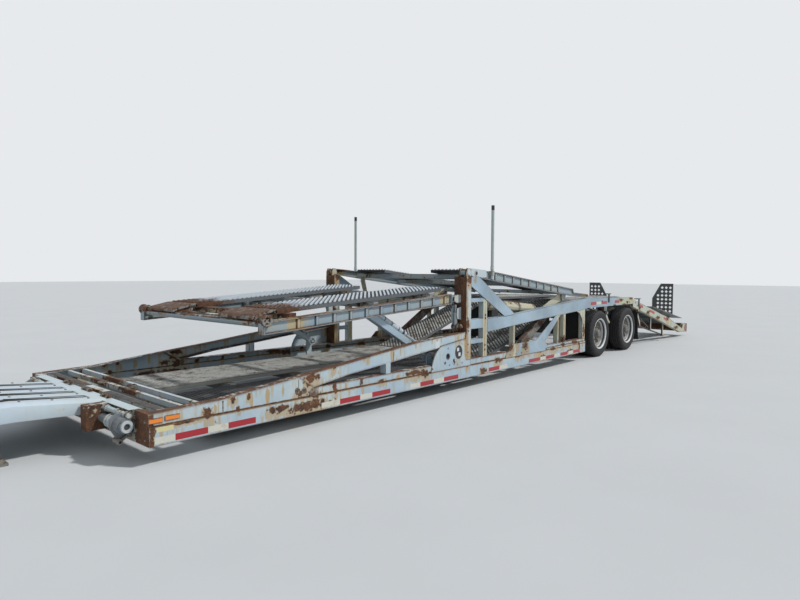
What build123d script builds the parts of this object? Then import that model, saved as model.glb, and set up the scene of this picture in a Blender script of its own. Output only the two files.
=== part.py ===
"""Stinger-steered car transporter semi-trailer, low deck, upper decks lowered.

Millimetres. +X points to the tongue, +Y to the left-hand side, +Z up. The origin is on the
ground under the middle of the box. Side views are drawn with the front axle at x = 0.
"""
import math
import os

from build123d import *

os.makedirs("parts", exist_ok=True)

# Overall sizes
half_width = 1295
tongue_reach = 10150
tail_reach = 4850
tongue_length = 2250
axle_spread = 1245
axle_x = (tail_reach - tongue_reach) / 2
body_front_x = tongue_reach - tongue_length

# Plate and section sizes
rail_web = 8
rail_lip = 10
rail_depth = 85
ramp_depth = 60
rub_strip = 12
gusset_plate = 8
bar_depth = 70
web_face = half_width - rub_strip
inner_lip = web_face - rail_depth
plate_face = web_face + gusset_plate

# Lower side rail and the chord above it
rail_bottom = 150
rail_top = 372
rail_rear_x = 620
strip_top, strip_top_rear, strip_step_x = 295, 330, 1950
nose_top = 392
seam_x, seam_top = body_front_x - 600, 410
crown_x, crown_top = body_front_x - 1370, 489
fork_x = crown_x - 180
post_front_x = 3970
chord_end_top = 712
chord_end_bottom = 612
stub_width = 80

# Main posts and the ladder behind them
post_depth = 100
post_width = 186
post_inner = plate_face - post_width
post_top = 1385
post_rear_x = post_front_x - post_depth
ladder_x, ladder_width = 3550, 90
ladder_top = 1180

# Rear beam over the wheels and the bars under it
beam_start_x = 3500
beam_start_bottom, beam_start_top = 680, 849
beam_end_x, beam_end_top = -1480, 985
wheel_plate_bottom = 862
end_post_x, end_post_width = 665, 90

# Rear ramps
ramp_front_x = -1480
ramp_front_top = 945
ramp_top_rear = 285
ramp_bottom_front, ramp_bottom_rear = 800, 95
tail_bar_depth = 30

# Lower deck
floor_member_top = 230
floor_member_depth, floor_member_width = 80, 90
track_lip = 40
track_plate = 6
low_track_inner, low_track_outer = 180, 1050
runway_front_x, runway_rear_x = body_front_x - 620, 3150
well_top_x = 900
wheel_deck_top = 985
bogie_top, bogie_depth = 875, 75
bogie_front_x, bogie_rear_x = 840, -1900
spring_inner, spring_outer = 490, 560

# Wheels
tyre_radius = 398.5
tyre_width = 233
twin_spacing = 262
rim_radius = 250
tyre_outer_y = half_width - 5
hub_height = tyre_radius
wheel_sides = 28

# Upper decks
rear_hinge = (post_front_x - 50, 1440)
front_hinge = (post_front_x + 85, 1118)
front_deck_length = 2775
hinge_pin = 20
hinge_play = 0.05
eye_radius = 42
rear_rail_outer = half_width - 33
front_rail_outer = half_width - 110
rear_rail_width, front_rail_width = 75, 85
rear_rail_inner = rear_rail_outer - rear_rail_width
front_rail_inner = front_rail_outer - front_rail_width
deck_front_x = front_hinge[0] + front_deck_length
deck_member_width = 80
deck_flange = 12

# Lifts under the decks: side-view places of the pins at each end
front_lift_head, front_lift_foot = (post_front_x + 1510, 1020), (post_front_x + 490, 455)
rear_lift_foot, rear_lift_head = (2400, 430), (1250, 1060)
lift_pin = 16
lift_eye_play = 24
lift_side_gap = 15
sleeve_wall = 6
arm_play = 1
lug_plate = 20
lug_gap = 5
front_lift_width, front_lift_depth = 70, 74
rear_lift_width, rear_lift_depth = 65, 120
front_lift_outer = front_rail_inner - lift_side_gap
rear_lift_outer = rear_rail_inner - lift_side_gap

# Runway trays of the upper decks and over the wheels: their outer edges keep clear of the lifts
track_inner = 430
track_outer = front_lift_outer - front_lift_width - lift_side_gap


def side_plane(y):
    """Side view from the left, at a distance y from the middle. Extrusions go towards -Y."""
    return Plane(origin=(axle_x, y, 0), x_dir=(1, 0, 0), z_dir=(0, -1, 0))


def cross_plane(x):
    """Section across the trailer at x. Extrusions go towards the tongue."""
    return Plane(origin=(axle_x + x, 0, 0), x_dir=(0, 1, 0), z_dir=(1, 0, 0))


def floor_plane(z):
    """Plan view at a height z. Extrusions go up."""
    return Plane(origin=(axle_x, 0, z), x_dir=(1, 0, 0), z_dir=(0, 0, 1))


def outline(plane, points):
    """Face with straight sides through the points."""
    with BuildSketch(plane) as drawn:
        with BuildLine():
            Polyline(*points, close=True)
        make_face()
    return drawn.sketch


def bar(plane, start, end, width):
    """Face of a straight bar between two points."""
    run = Vector(*end) - Vector(*start)
    middle = (Vector(*start) + Vector(*end)) * 0.5
    with BuildSketch(plane) as drawn:
        with Locations(middle):
            Rectangle(run.length, width, rotation=math.degrees(math.atan2(run.Y, run.X)))
    return drawn.sketch


def block(plane, low, high):
    """Rectangle between two opposite corners."""
    middle = ((low[0] + high[0]) / 2, (low[1] + high[1]) / 2)
    with BuildSketch(plane) as drawn:
        with Locations(middle):
            Rectangle(high[0] - low[0], high[1] - low[1])
    return drawn.sketch


def rim_band(plane, points, thickness):
    """The band just inside an outline."""
    with BuildSketch(plane) as drawn:
        with BuildLine():
            Polyline(*points, close=True)
        make_face()
        offset(amount=-thickness, kind=Kind.INTERSECTION, mode=Mode.SUBTRACT)
    return drawn.sketch


def disc(plane, centre, radius):
    """Round face, for pins and bores."""
    with BuildSketch(plane) as drawn:
        with Locations(centre):
            Circle(radius)
    return drawn.sketch


def facet(plane, centre, radius, sides=12):
    """Many-sided face, for round plates and tubes that nothing turns in."""
    with BuildSketch(plane) as drawn:
        with Locations(centre):
            RegularPolygon(radius, sides)
    return drawn.sketch


def pressed(y, points, depth=rail_depth, web=rail_web, lip=rail_lip):
    """A plate with its outer face at y, folded inwards along its whole edge."""
    extrude(outline(side_plane(y), points), amount=web)
    extrude(rim_band(side_plane(y), points, lip), amount=depth)


def height_on(points, x):
    """Height at x on a line of straight stretches."""
    for start, end in zip(points, points[1:]):
        if min(start[0], end[0]) <= x <= max(start[0], end[0]):
            share = (x - start[0]) / (end[0] - start[0])
            return start[1] + share * (end[1] - start[1])
    raise ValueError(f"{x} is past the ends of the line")


def along(start, end, distance, rise=0):
    """Point at a distance from start towards end, set off sideways by rise."""
    run = (Vector(*end) - Vector(*start)).normalized()
    point = Vector(*start) + run * distance + Vector(-run.Y, run.X) * rise
    return (point.X, point.Y)


def section_across(start, end, y):
    """Plane at start, square to the line to end, in the side view at y. Extrusions go towards end."""
    run = Vector(*end) - Vector(*start)
    return Plane(origin=(axle_x + start[0], y, start[1]), x_dir=(0, 1, 0), z_dir=(run.X, 0, run.Y))


def length_of(start, end):
    """Length of the straight line between two points of a side view."""
    return (Vector(*end) - Vector(*start)).length


def save(piece, name):
    """Write one finished piece under its own name."""
    piece.label = name
    export_step(piece, f"parts/{name}.step")


def save_both(left, name):
    """Write a left-hand piece and its mirror image as one node of the fixed frame."""
    with BuildPart() as both:
        add(left)
        mirror(left, about=Plane.XZ)
    save(both.part, name)


def save_pair(left, name):
    """Write a left-hand piece and its mirror image as two nodes."""
    save(left, f"{name}_left")
    with BuildPart() as twin:
        mirror(left, about=Plane.XZ)
    save(twin.part, f"{name}_right")


# Lower side rail: web, folded edges and the rub strip along its foot
rail_points = (
    (rail_rear_x, rail_bottom), (body_front_x, rail_bottom), (body_front_x, nose_top),
    (seam_x, seam_top), (crown_x, crown_top), (fork_x, rail_top), (rail_rear_x, rail_top),
)
strip_points = (
    (rail_rear_x, rail_bottom), (body_front_x, rail_bottom), (body_front_x, strip_top),
    (strip_step_x, strip_top), (strip_step_x, strip_top_rear), (rail_rear_x, strip_top_rear),
)
with BuildPart() as side_rail:
    pressed(web_face, rail_points)
    extrude(outline(side_plane(half_width), strip_points), amount=rub_strip)
save_both(side_rail.part, "side_rails")

# Upper chord. Columns: share of the way from the post to the crown, height
chord_run = crown_x - post_front_x
chord_top_knees = ((0.344, 662), (0.551, 607), (0.754, 549))
chord_foot_knees = ((0.344, 532), (0.508, 490), (0.754, 436))
chord_rise = [(post_front_x + share * chord_run, height) for share, height in chord_top_knees]
chord_under = [(post_front_x + share * chord_run, height) for share, height in chord_foot_knees]
chord_points = (
    (fork_x, rail_top), (crown_x, crown_top), *reversed(chord_rise), (post_front_x, chord_end_top),
    (post_front_x, chord_end_bottom), *chord_under,
)
stub_x = chord_under[1][0] + stub_width
gusset_foot, gusset_belly, gusset_head = 670, 630, 500
gusset_hole = (360, 450, 34)
keyhole = (240, 365, 20)
small_holes = ((415, 378, 12), (245, 395, 14))
with BuildPart() as upper_chord:
    pressed(web_face, chord_points)
    stub_top = height_on(chord_under, stub_x) + rail_lip
    extrude(block(side_plane(web_face), (stub_x - stub_width / 2, rail_top), (stub_x + stub_width / 2, stub_top)),
            amount=rail_depth)
    with BuildSketch(side_plane(plate_face)) as gusset:
        with BuildLine():
            front = ThreePointArc((post_front_x + gusset_foot, strip_top), (post_front_x + gusset_belly, 440),
                                  (post_front_x + gusset_head, 580))
            Polyline(front @ 1, (post_front_x, chord_end_bottom + 20), (post_front_x, rail_top),
                     (post_rear_x, rail_top), (post_rear_x, strip_top), front @ 0)
        make_face()
        for ahead, hole_z, radius in (gusset_hole, keyhole):
            with Locations((post_front_x + ahead, hole_z)):
                Circle(radius, mode=Mode.SUBTRACT)
        for ahead, hole_z, radius in small_holes:
            with Locations((post_front_x + ahead, hole_z)):
                RegularPolygon(radius, 12, mode=Mode.SUBTRACT)
    extrude(gusset.sketch, amount=gusset_plate)
save_both(upper_chord.part, "upper_chords")

# Main post: a box section with two lugs and the rear deck's pin at its head, and a lug with
# the front deck's pin on its front face
outer_lug = rear_rail_outer + lug_gap
inner_lug = rear_rail_inner - lug_gap
lug_half = eye_radius + 8
lug_chamfer = 26
head_lug = (
    (post_rear_x, post_top), (post_front_x, post_top), (rear_hinge[0] + lug_half, rear_hinge[1]),
    (rear_hinge[0] + lug_chamfer, rear_hinge[1] + lug_half),
    (rear_hinge[0] - lug_chamfer, rear_hinge[1] + lug_half), (rear_hinge[0] - lug_half, rear_hinge[1]),
)
front_lug = (
    (post_front_x, front_hinge[1] - lug_half), (front_hinge[0], front_hinge[1] - lug_half),
    (front_hinge[0] + lug_half, front_hinge[1] - lug_chamfer),
    (front_hinge[0] + lug_half, front_hinge[1] + lug_chamfer),
    (front_hinge[0], front_hinge[1] + lug_half), (post_front_x, front_hinge[1] + lug_half),
)
pin_reach = outer_lug - inner_lug + 2 * lug_plate
front_lug_y = front_rail_outer + lug_gap + lug_plate
front_pin_reach = front_lug_y - front_rail_inner + lug_gap
with BuildPart() as main_post:
    extrude(block(side_plane(plate_face), (post_rear_x, rail_top), (post_front_x, post_top)),
            amount=plate_face - post_inner)
    for lug_y in (outer_lug + lug_plate, inner_lug):
        extrude(outline(side_plane(lug_y), head_lug), amount=lug_plate)
    extrude(disc(side_plane(outer_lug + lug_plate), rear_hinge, hinge_pin), amount=pin_reach)
    extrude(outline(side_plane(front_lug_y), front_lug), amount=lug_plate)
    extrude(disc(side_plane(front_lug_y), front_hinge, hinge_pin), amount=front_pin_reach)
save_both(main_post.part, "main_posts")

# Rear beam, running back over the wheels
beam_tops = ((2850, 871), (1340, 975), (500, 1030), (-200, 1010))
beam_under = ((beam_end_x, wheel_plate_bottom), (500, 862), (920, 828), (2160, 764), (beam_start_x, beam_start_bottom))
beam_points = (
    (beam_start_x, beam_start_top), *beam_tops, (beam_end_x, beam_end_top), *beam_under,
)
with BuildPart() as rear_beam:
    pressed(web_face, beam_points)
save_both(rear_beam.part, "rear_beams")

# Ladder, brace, strut and posts round the rear beam. Rungs: foot, top
rungs = ((1070, 1120), (740, 860), (555, 610))
brace_points = (
    (post_rear_x, post_top), (post_rear_x, 1270), (3100, 862), (2850, 871), (2850, 885), (3700, post_top),
)
lower_gusset_points = (
    (3060, strip_top), (3060, 330), (2900, 470), (2250, 470), (1640, 800), (1500, 795),
    (1990, 430), (1900, rail_top), (1900, strip_top_rear), (strip_step_x, strip_top_rear), (strip_step_x, strip_top),
)
thin_posts = ((2840, 40), (1560, 40), (1350, 70), (end_post_x, end_post_width))
ladder_front_x = ladder_x + ladder_width / 2
with BuildPart() as truss_bars:
    extrude(block(side_plane(web_face), (ladder_x - ladder_width / 2, rail_top), (ladder_front_x, ladder_top)),
            amount=bar_depth)
    for rung_low, rung_high in rungs:
        extrude(block(side_plane(web_face), (ladder_front_x, rung_low), (post_rear_x, rung_high)), amount=bar_depth)
    extrude(outline(side_plane(plate_face), brace_points), amount=gusset_plate)
    extrude(outline(side_plane(plate_face), lower_gusset_points), amount=gusset_plate)
    for post_x, width in thin_posts:
        rear, front = post_x - width / 2, post_x + width / 2
        extrude(outline(side_plane(web_face), (
            (rear, rail_top), (front, rail_top), (front, height_on(beam_under, front)),
            (rear, height_on(beam_under, rear)))), amount=bar_depth)
save_both(truss_bars.part, "truss_bars")

# Mud shield: the rounded knee before the front wheel, between the end post and the rear beam
knee_x = end_post_x + end_post_width / 2
knee_reach, knee_drop, shield_plate = 240, 230, 8
knee_roof = height_on(beam_under, knee_x)
with BuildPart() as mud_shield:
    with BuildSketch(side_plane(web_face)) as knee:
        with BuildLine():
            knee_low = (knee_x, knee_roof - knee_drop)
            knee_far = (knee_x + knee_reach, height_on(beam_under, knee_x + knee_reach))
            Polyline(knee_low, (knee_x, knee_roof), beam_under[2], knee_far)
            ThreePointArc(knee_far, (knee_x + 0.35 * knee_reach, knee_roof - 0.35 * knee_drop), knee_low)
        make_face()
    extrude(knee.sketch, amount=shield_plate)
save_both(mud_shield.part, "mud_shields")

# Rear ramp's side rail. Places along the ramp are shares of its run to the tail
tail_bar_x = -tail_reach + tail_bar_depth


def aft(share):
    """Place on the rear ramp, from 0 at its front to 1 at the tail."""
    return ramp_front_x - share * (tail_reach + ramp_front_x)


ramp_knees_top = ((aft(0.065), 900), (aft(0.614), 490), (aft(0.908), 190), (aft(0.926), ramp_top_rear))
ramp_knees_bottom = ((aft(0.861), 110), (aft(0.499), 415))
ramp_points = (
    (ramp_front_x, ramp_bottom_front), (ramp_front_x, ramp_front_top), *ramp_knees_top,
    (tail_bar_x, ramp_top_rear), (tail_bar_x, ramp_bottom_rear), *ramp_knees_bottom,
)
with BuildPart() as ramp_rail:
    pressed(web_face, ramp_points, depth=ramp_depth)
save_both(ramp_rail.part, "ramp_rails")

# Tail bar across the ramps' ends
with BuildPart() as tail_bar:
    extrude(block(cross_plane(-tail_reach), (-half_width, ramp_bottom_rear), (half_width, ramp_top_rear)),
            amount=tail_bar_depth)
save(tail_bar.part, "tail_bar")

# Tie posts on the plates over the wheels: a stem with a flat cap. Columns: place, top of the plate under it
tie_posts = ((-330, 1000), (-1780, 870))
tie_stem, tie_cap, tie_rise, tie_cap_depth = 60, 170, 70, 14
with BuildPart() as tie_post:
    for tie_x, foot_z in tie_posts:
        extrude(block(side_plane(plate_face), (tie_x - tie_stem / 2, foot_z - tie_rise),
                      (tie_x + tie_stem / 2, foot_z + tie_rise)), amount=gusset_plate)
        extrude(block(side_plane(plate_face), (tie_x - tie_cap / 2, foot_z + tie_rise),
                      (tie_x + tie_cap / 2, foot_z + tie_rise + tie_cap_depth)), amount=gusset_plate + ramp_depth)
save_both(tie_post.part, "tie_posts")

# Side lamps: amber by the nose, red at the tail. Columns: rear end, front end, foot, top
amber_lamps = ((body_front_x - 237, body_front_x - 127, 330, 358), (body_front_x - 104, body_front_x - 2, 324, 352))
tail_lamp = (tail_bar_x + 20, tail_bar_x + 90, 130, 250)
lamp_depth = 10
with BuildPart() as side_lamp:
    for rear, front, low, high in amber_lamps:
        extrude(block(side_plane(web_face + lamp_depth), (rear, low), (front, high)), amount=lamp_depth)
save_both(side_lamp.part, "side_lamps")
with BuildPart() as tail_lamp_left:
    rear, front, low, high = tail_lamp
    extrude(block(side_plane(web_face + lamp_depth), (rear, low), (front, high)), amount=lamp_depth)
save_both(tail_lamp_left.part, "tail_lamps")

# Front crossmember: a deep channel with two lighter ones behind it, under strip plates
cross_depth = 180
cross_rear_x = body_front_x - cross_depth
cross_wall = 12
strip_plates = ((300, 260), (160, 120))
strip_low, strip_high = 350, 392
end_bracket_inner, end_bracket_outer, end_bracket_reach = 575, 680, 205
with BuildPart() as front_crossmember:
    extrude(block(side_plane(inner_lip), (cross_rear_x, rail_bottom), (body_front_x, nose_top)),
            amount=2 * inner_lip)
    extrude(block(side_plane(inner_lip - cross_wall), (cross_rear_x + 70, rail_bottom + 60), (body_front_x - 60, nose_top)),
            amount=2 * (inner_lip - cross_wall), mode=Mode.SUBTRACT)
    for rear, front in strip_plates:
        extrude(block(side_plane(inner_lip), (cross_rear_x - rear, strip_low), (cross_rear_x - front, strip_high)),
                amount=2 * inner_lip)
    for inner_y, outer_y in ((end_bracket_inner, end_bracket_outer), (-end_bracket_outer, -end_bracket_inner)):
        extrude(block(side_plane(outer_y), (body_front_x, rail_bottom + 45), (body_front_x + end_bracket_reach, nose_top)),
                amount=outer_y - inner_y)
save(front_crossmember.part, "front_crossmember")

# Winch on each side of the nose. Columns: near end, far end, radius of each stretch of the shaft
winch_x, winch_z = body_front_x + 85, 290
winch_stretches = ((680, 930, 34), (930, 990, 50), (990, 1085, 62), (1085, 1120, 52))
winch_bore = 26
cheek_plate = 18
with BuildPart() as winch:
    for near_y, far_y, radius in winch_stretches:
        extrude(facet(side_plane(far_y), (winch_x, winch_z), radius), amount=far_y - near_y)
    extrude(facet(side_plane(winch_stretches[-1][1]), (winch_x, winch_z), winch_bore, 8), amount=60, mode=Mode.SUBTRACT)
    extrude(outline(side_plane(1010), (
        (body_front_x, winch_z - 110), (winch_x + 30, winch_z - 100), (winch_x + 75, winch_z - 20),
        (winch_x + 75, winch_z + 50), (winch_x + 20, winch_z + 85), (body_front_x, winch_z + 85))), amount=cheek_plate)
save_both(winch.part, "winches")

# Tongue with its kingpin and the plate round it
tongue_half = 560
tongue_low, tongue_high = 330, 470
tongue_root_low, tongue_root_high = 300, 405
tongue_knee = 650
kingpin_back = 450
kingpin_radius, kingpin_head_radius = 25.4, 35.7
kingpin_collar, kingpin_neck, kingpin_head = 18, 35, 19
coupler_plate, coupler_half, coupler_front, coupler_rear = 12, 420, 380, 700
slot_half, slot_depth, slot_ends = 30, 40, 500
tongue_slots = (-390, -130, 130, 390)
kingpin_x = tongue_reach - kingpin_back
with BuildPart() as tongue:
    extrude(outline(side_plane(tongue_half), (
        (body_front_x, tongue_root_low), (body_front_x + tongue_knee, tongue_low), (tongue_reach, tongue_low),
        (tongue_reach, tongue_high), (body_front_x + tongue_knee, tongue_high), (body_front_x, tongue_root_high))),
            amount=2 * tongue_half)
    chamfer(tongue.edges().filter_by(Axis.X).group_by(Axis.Z)[-1].sort_by(Axis.Y)[0], 25)
    chamfer(tongue.edges().filter_by(Axis.X).group_by(Axis.Z)[-1].sort_by(Axis.Y)[-1], 25)
    for slot_y in tongue_slots:
        extrude(block(floor_plane(tongue_high), (body_front_x + tongue_knee + 40, slot_y - slot_half),
                      (tongue_reach - slot_ends, slot_y + slot_half)), amount=-slot_depth, mode=Mode.SUBTRACT)
    extrude(block(floor_plane(tongue_low), (kingpin_x - coupler_rear, -coupler_half),
                  (kingpin_x + coupler_front, coupler_half)), amount=-coupler_plate)
    collar_top = tongue_low - coupler_plate
    neck_top = collar_top - kingpin_collar
    neck_foot = neck_top - kingpin_neck
    extrude(disc(floor_plane(collar_top), (kingpin_x, 0), kingpin_head_radius), amount=-kingpin_collar)
    extrude(disc(floor_plane(neck_top), (kingpin_x, 0), kingpin_radius), amount=-kingpin_neck)
    extrude(disc(floor_plane(neck_foot), (kingpin_x, 0), kingpin_head_radius), amount=-kingpin_head)
save(tongue.part, "tongue")

# Landing legs: an outer tube, the inner one below it and the foot
leg_back, leg_y = 1450, 350
leg_x = tongue_reach - leg_back
leg_width, inner_leg_width = 120, 96
leg_join = 150
foot_size, foot_plate = 260, 20
with BuildPart() as landing_leg:
    for width, low, high in ((leg_width, leg_join, tongue_low), (inner_leg_width, foot_plate, leg_join),
                             (foot_size, 0, foot_plate)):
        extrude(block(floor_plane(low), (leg_x - width / 2, leg_y - width / 2), (leg_x + width / 2, leg_y + width / 2)),
                amount=high - low)
save_both(landing_leg.part, "landing_legs")

# Cross members under the lower deck
nose_bay = body_front_x - post_front_x
floor_members = (
    post_front_x + 0.835 * nose_bay, post_front_x + 0.606 * nose_bay, post_front_x + 0.377 * nose_bay,
    front_lift_foot[0], post_front_x - post_depth / 2, 3100, rear_lift_foot[0], 1500, 700,
)
with BuildPart() as floor_crossmembers:
    for member_x in floor_members:
        extrude(block(side_plane(inner_lip), (member_x - floor_member_width / 2, floor_member_top - floor_member_depth),
                      (member_x + floor_member_width / 2, floor_member_top)), amount=2 * inner_lip)
save(floor_crossmembers.part, "floor_crossmembers")


def track(path, inner=track_inner, outer=track_outer):
    """Left runway tray along a side-view line: a plate with both edges folded down."""
    top = list(path)
    under = [(x, z - track_plate) for x, z in reversed(path)]
    skirt = [(x, z - track_lip) for x, z in reversed(path)]
    extrude(outline(side_plane(outer), top + under), amount=outer - inner)
    for lip_y in (outer, inner + track_plate):
        extrude(outline(side_plane(lip_y), top + skirt), amount=track_plate)


def member_under(path, member_x, depth, half_span, width=deck_member_width):
    """Cross member whose top meets the folded edges of the runways."""
    rear, front = member_x - width / 2, member_x + width / 2
    tops = [(x, height_on(path, x) - track_lip) for x in (rear, front)]
    extrude(outline(side_plane(half_span), (*tops, (front, tops[1][1] - depth), (rear, tops[0][1] - depth))),
            amount=2 * half_span)


# Lower runways
runway_top = floor_member_top + track_lip
with BuildPart() as lower_runway:
    track(((runway_front_x, runway_top), (runway_rear_x, runway_top)), low_track_inner, low_track_outer)
save_both(lower_runway.part, "lower_runways")

# Wheel deck: runways rising from the low deck and running level over the wheels
wheel_deck_line = ((runway_rear_x - 10, runway_top), (well_top_x, wheel_deck_top), (ramp_front_x + 10, wheel_deck_top))
wheel_deck_members = (800, -300, -1400)
with BuildPart() as wheel_track:
    track(wheel_deck_line)
with BuildPart() as wheel_deck:
    add(wheel_track.part)
    mirror(wheel_track.part, about=Plane.XZ)
    for member_x in wheel_deck_members:
        member_under(wheel_deck_line, member_x, wheel_deck_top - track_lip - bogie_top, inner_lip)
save(wheel_deck.part, "wheel_deck")

# Rear ramp runways
ramp_line = ((ramp_front_x, wheel_deck_top), (aft(0.065), wheel_deck_top - 20), (-tail_reach + 50, 250))
ramp_members = (aft(0.273), aft(0.629))
with BuildPart() as ramp_track:
    track(ramp_line)
with BuildPart() as ramp_runways:
    add(ramp_track.part)
    mirror(ramp_track.part, about=Plane.XZ)
    for member_x in ramp_members:
        member_under(ramp_line, member_x, 50, web_face - ramp_depth, 60)
save(ramp_runways.part, "ramp_runways")

# Axles: square beams with round spindles that end inside the hubs
wheel_places = {"front": 0, "rear": -axle_spread}
axle_half, axle_side = tyre_outer_y - 590, 120
spindle_radius, spindle_end = 38, tyre_outer_y - 190
with BuildPart() as axles:
    for x in wheel_places.values():
        extrude(block(side_plane(axle_half), (x - axle_side / 2, hub_height - axle_side / 2),
                      (x + axle_side / 2, hub_height + axle_side / 2)), amount=2 * axle_half)
        extrude(disc(side_plane(spindle_end), (x, hub_height), spindle_radius), amount=2 * spindle_end)
save(axles.part, "axles")

# Bogie beams under the wheel deck
with BuildPart() as bogie_beam:
    extrude(block(side_plane(spring_outer), (bogie_rear_x, bogie_top - bogie_depth), (bogie_front_x, bogie_top)),
            amount=spring_outer - spring_inner)
save_both(bogie_beam.part, "bogie_frame")

# Springs: bowed leaves on the axles, with tapered hangers and the equaliser between the wheels
leaf_half, leaf_bow, leaf_depth = 480, 60, 40
leaf_low = hub_height + axle_side / 2
hanger_places = (560, -axle_spread / 2, -axle_spread - 560)
with BuildPart() as spring:
    for x in wheel_places.values():
        with BuildSketch(side_plane(spring_outer)) as leaf:
            with BuildLine():
                under = ThreePointArc((x - leaf_half, leaf_low + leaf_bow), (x, leaf_low),
                                      (x + leaf_half, leaf_low + leaf_bow))
                over = ThreePointArc((x - leaf_half, leaf_low + leaf_bow + leaf_depth), (x, leaf_low + leaf_depth),
                                     (x + leaf_half, leaf_low + leaf_bow + leaf_depth))
                Line(under @ 0, over @ 0)
                Line(under @ 1, over @ 1)
            make_face()
        extrude(leaf.sketch, amount=spring_outer - spring_inner)
    for x in hanger_places:
        extrude(outline(side_plane(spring_outer), (
            (x - 110, bogie_top - bogie_depth), (x + 110, bogie_top - bogie_depth), (x + 95, leaf_low + leaf_bow),
            (x + 60, leaf_low + 10), (x - 60, leaf_low + 10), (x - 95, leaf_low + leaf_bow))),
                amount=spring_outer - spring_inner)
save_both(spring.part, "springs")


def ring_stack(x, sections, mode=Mode.ADD):
    """Stack of many-sided rings about a wheel's axis. Sections: distance from the middle, radius."""
    faces = [facet(side_plane(y), (x, hub_height), radius, wheel_sides) for y, radius in sections]
    loft(sections=faces, ruled=True, mode=mode)


# Tyre: bulged sidewalls and a flat tread. Columns: depth from the outer sidewall, radius
tyre_bulge = rim_radius + 85
tyre_sections = (
    (0, tyre_bulge), (16, tyre_radius - 20), (40, tyre_radius), (tyre_width - 40, tyre_radius),
    (tyre_width - 16, tyre_radius - 20), (tyre_width, tyre_bulge),
)
bead_depth = 24

# Rim: one barrel through both tyres, a dished disc with hand holes, and the hub
barrel_radius, barrel_wall = rim_radius - 1, 14
rim_lip = 12
disc_depth, disc_plate = 150, 24
hub_radius, hub_cap_radius, hub_bore = 92, 62, 41
hand_holes, hand_hole_radius, hand_hole_circle = 5, 34, 168
for wheel_name, wheel_x in wheel_places.items():
    with BuildPart() as tyres:
        for outer in (tyre_outer_y, tyre_outer_y - twin_spacing):
            ring_stack(wheel_x, [(outer - depth, radius) for depth, radius in tyre_sections])
            ring_stack(wheel_x, ((outer, tyre_bulge), (outer - bead_depth, rim_radius)), Mode.SUBTRACT)
            ring_stack(wheel_x, ((outer - tyre_width, tyre_bulge), (outer - tyre_width + bead_depth, rim_radius)),
                       Mode.SUBTRACT)
            ring_stack(wheel_x, ((outer, rim_radius), (outer - tyre_width, rim_radius)), Mode.SUBTRACT)
    save_pair(tyres.part, f"tyres_{wheel_name}")
    rim_face = tyre_outer_y - rim_lip
    rim_back = tyre_outer_y - twin_spacing - tyre_width + rim_lip
    disc_face = rim_face - disc_depth
    with BuildPart() as rims:
        ring_stack(wheel_x, ((rim_face, barrel_radius), (rim_back, barrel_radius)))
        ring_stack(wheel_x, ((rim_face, barrel_radius - barrel_wall), (disc_face, barrel_radius - 2 * barrel_wall)),
                   Mode.SUBTRACT)
        ring_stack(wheel_x, ((disc_face - disc_plate, barrel_radius - 2 * barrel_wall),
                             (rim_back, barrel_radius - barrel_wall)), Mode.SUBTRACT)
        with BuildSketch(side_plane(disc_face)) as windows:
            with Locations((wheel_x, hub_height)):
                with PolarLocations(hand_hole_circle, hand_holes):
                    RegularPolygon(hand_hole_radius, 6)
        extrude(windows.sketch, amount=disc_plate, mode=Mode.SUBTRACT)
        extrude(facet(side_plane(disc_face + 40), (wheel_x, hub_height), hub_radius, 16), amount=disc_plate + 140)
        extrude(facet(side_plane(disc_face + 75), (wheel_x, hub_height), hub_cap_radius), amount=50)
        extrude(facet(side_plane(spindle_end + 5), (wheel_x, hub_height), hub_bore), amount=spindle_end,
                mode=Mode.SUBTRACT)
    save_pair(rims.part, f"rims_{wheel_name}")


def deck_rail(top, under, outer, width, ribs, web_back):
    """Left rail of an upper deck: flanges all round a set-back web with upright ribs on its face."""
    around = (*top, *reversed(under))
    extrude(rim_band(side_plane(outer), around, deck_flange), amount=width)
    extrude(outline(side_plane(outer - web_back), around), amount=rail_web)
    for rib_x in ribs:
        rear, front = rib_x - 18, rib_x + 18
        extrude(outline(side_plane(outer - web_back + 14), (
            (rear, height_on(under, rear) + 4), (front, height_on(under, front) + 4),
            (front, height_on(top, front) - 4), (rear, height_on(top, rear) - 4))), amount=14)


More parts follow.
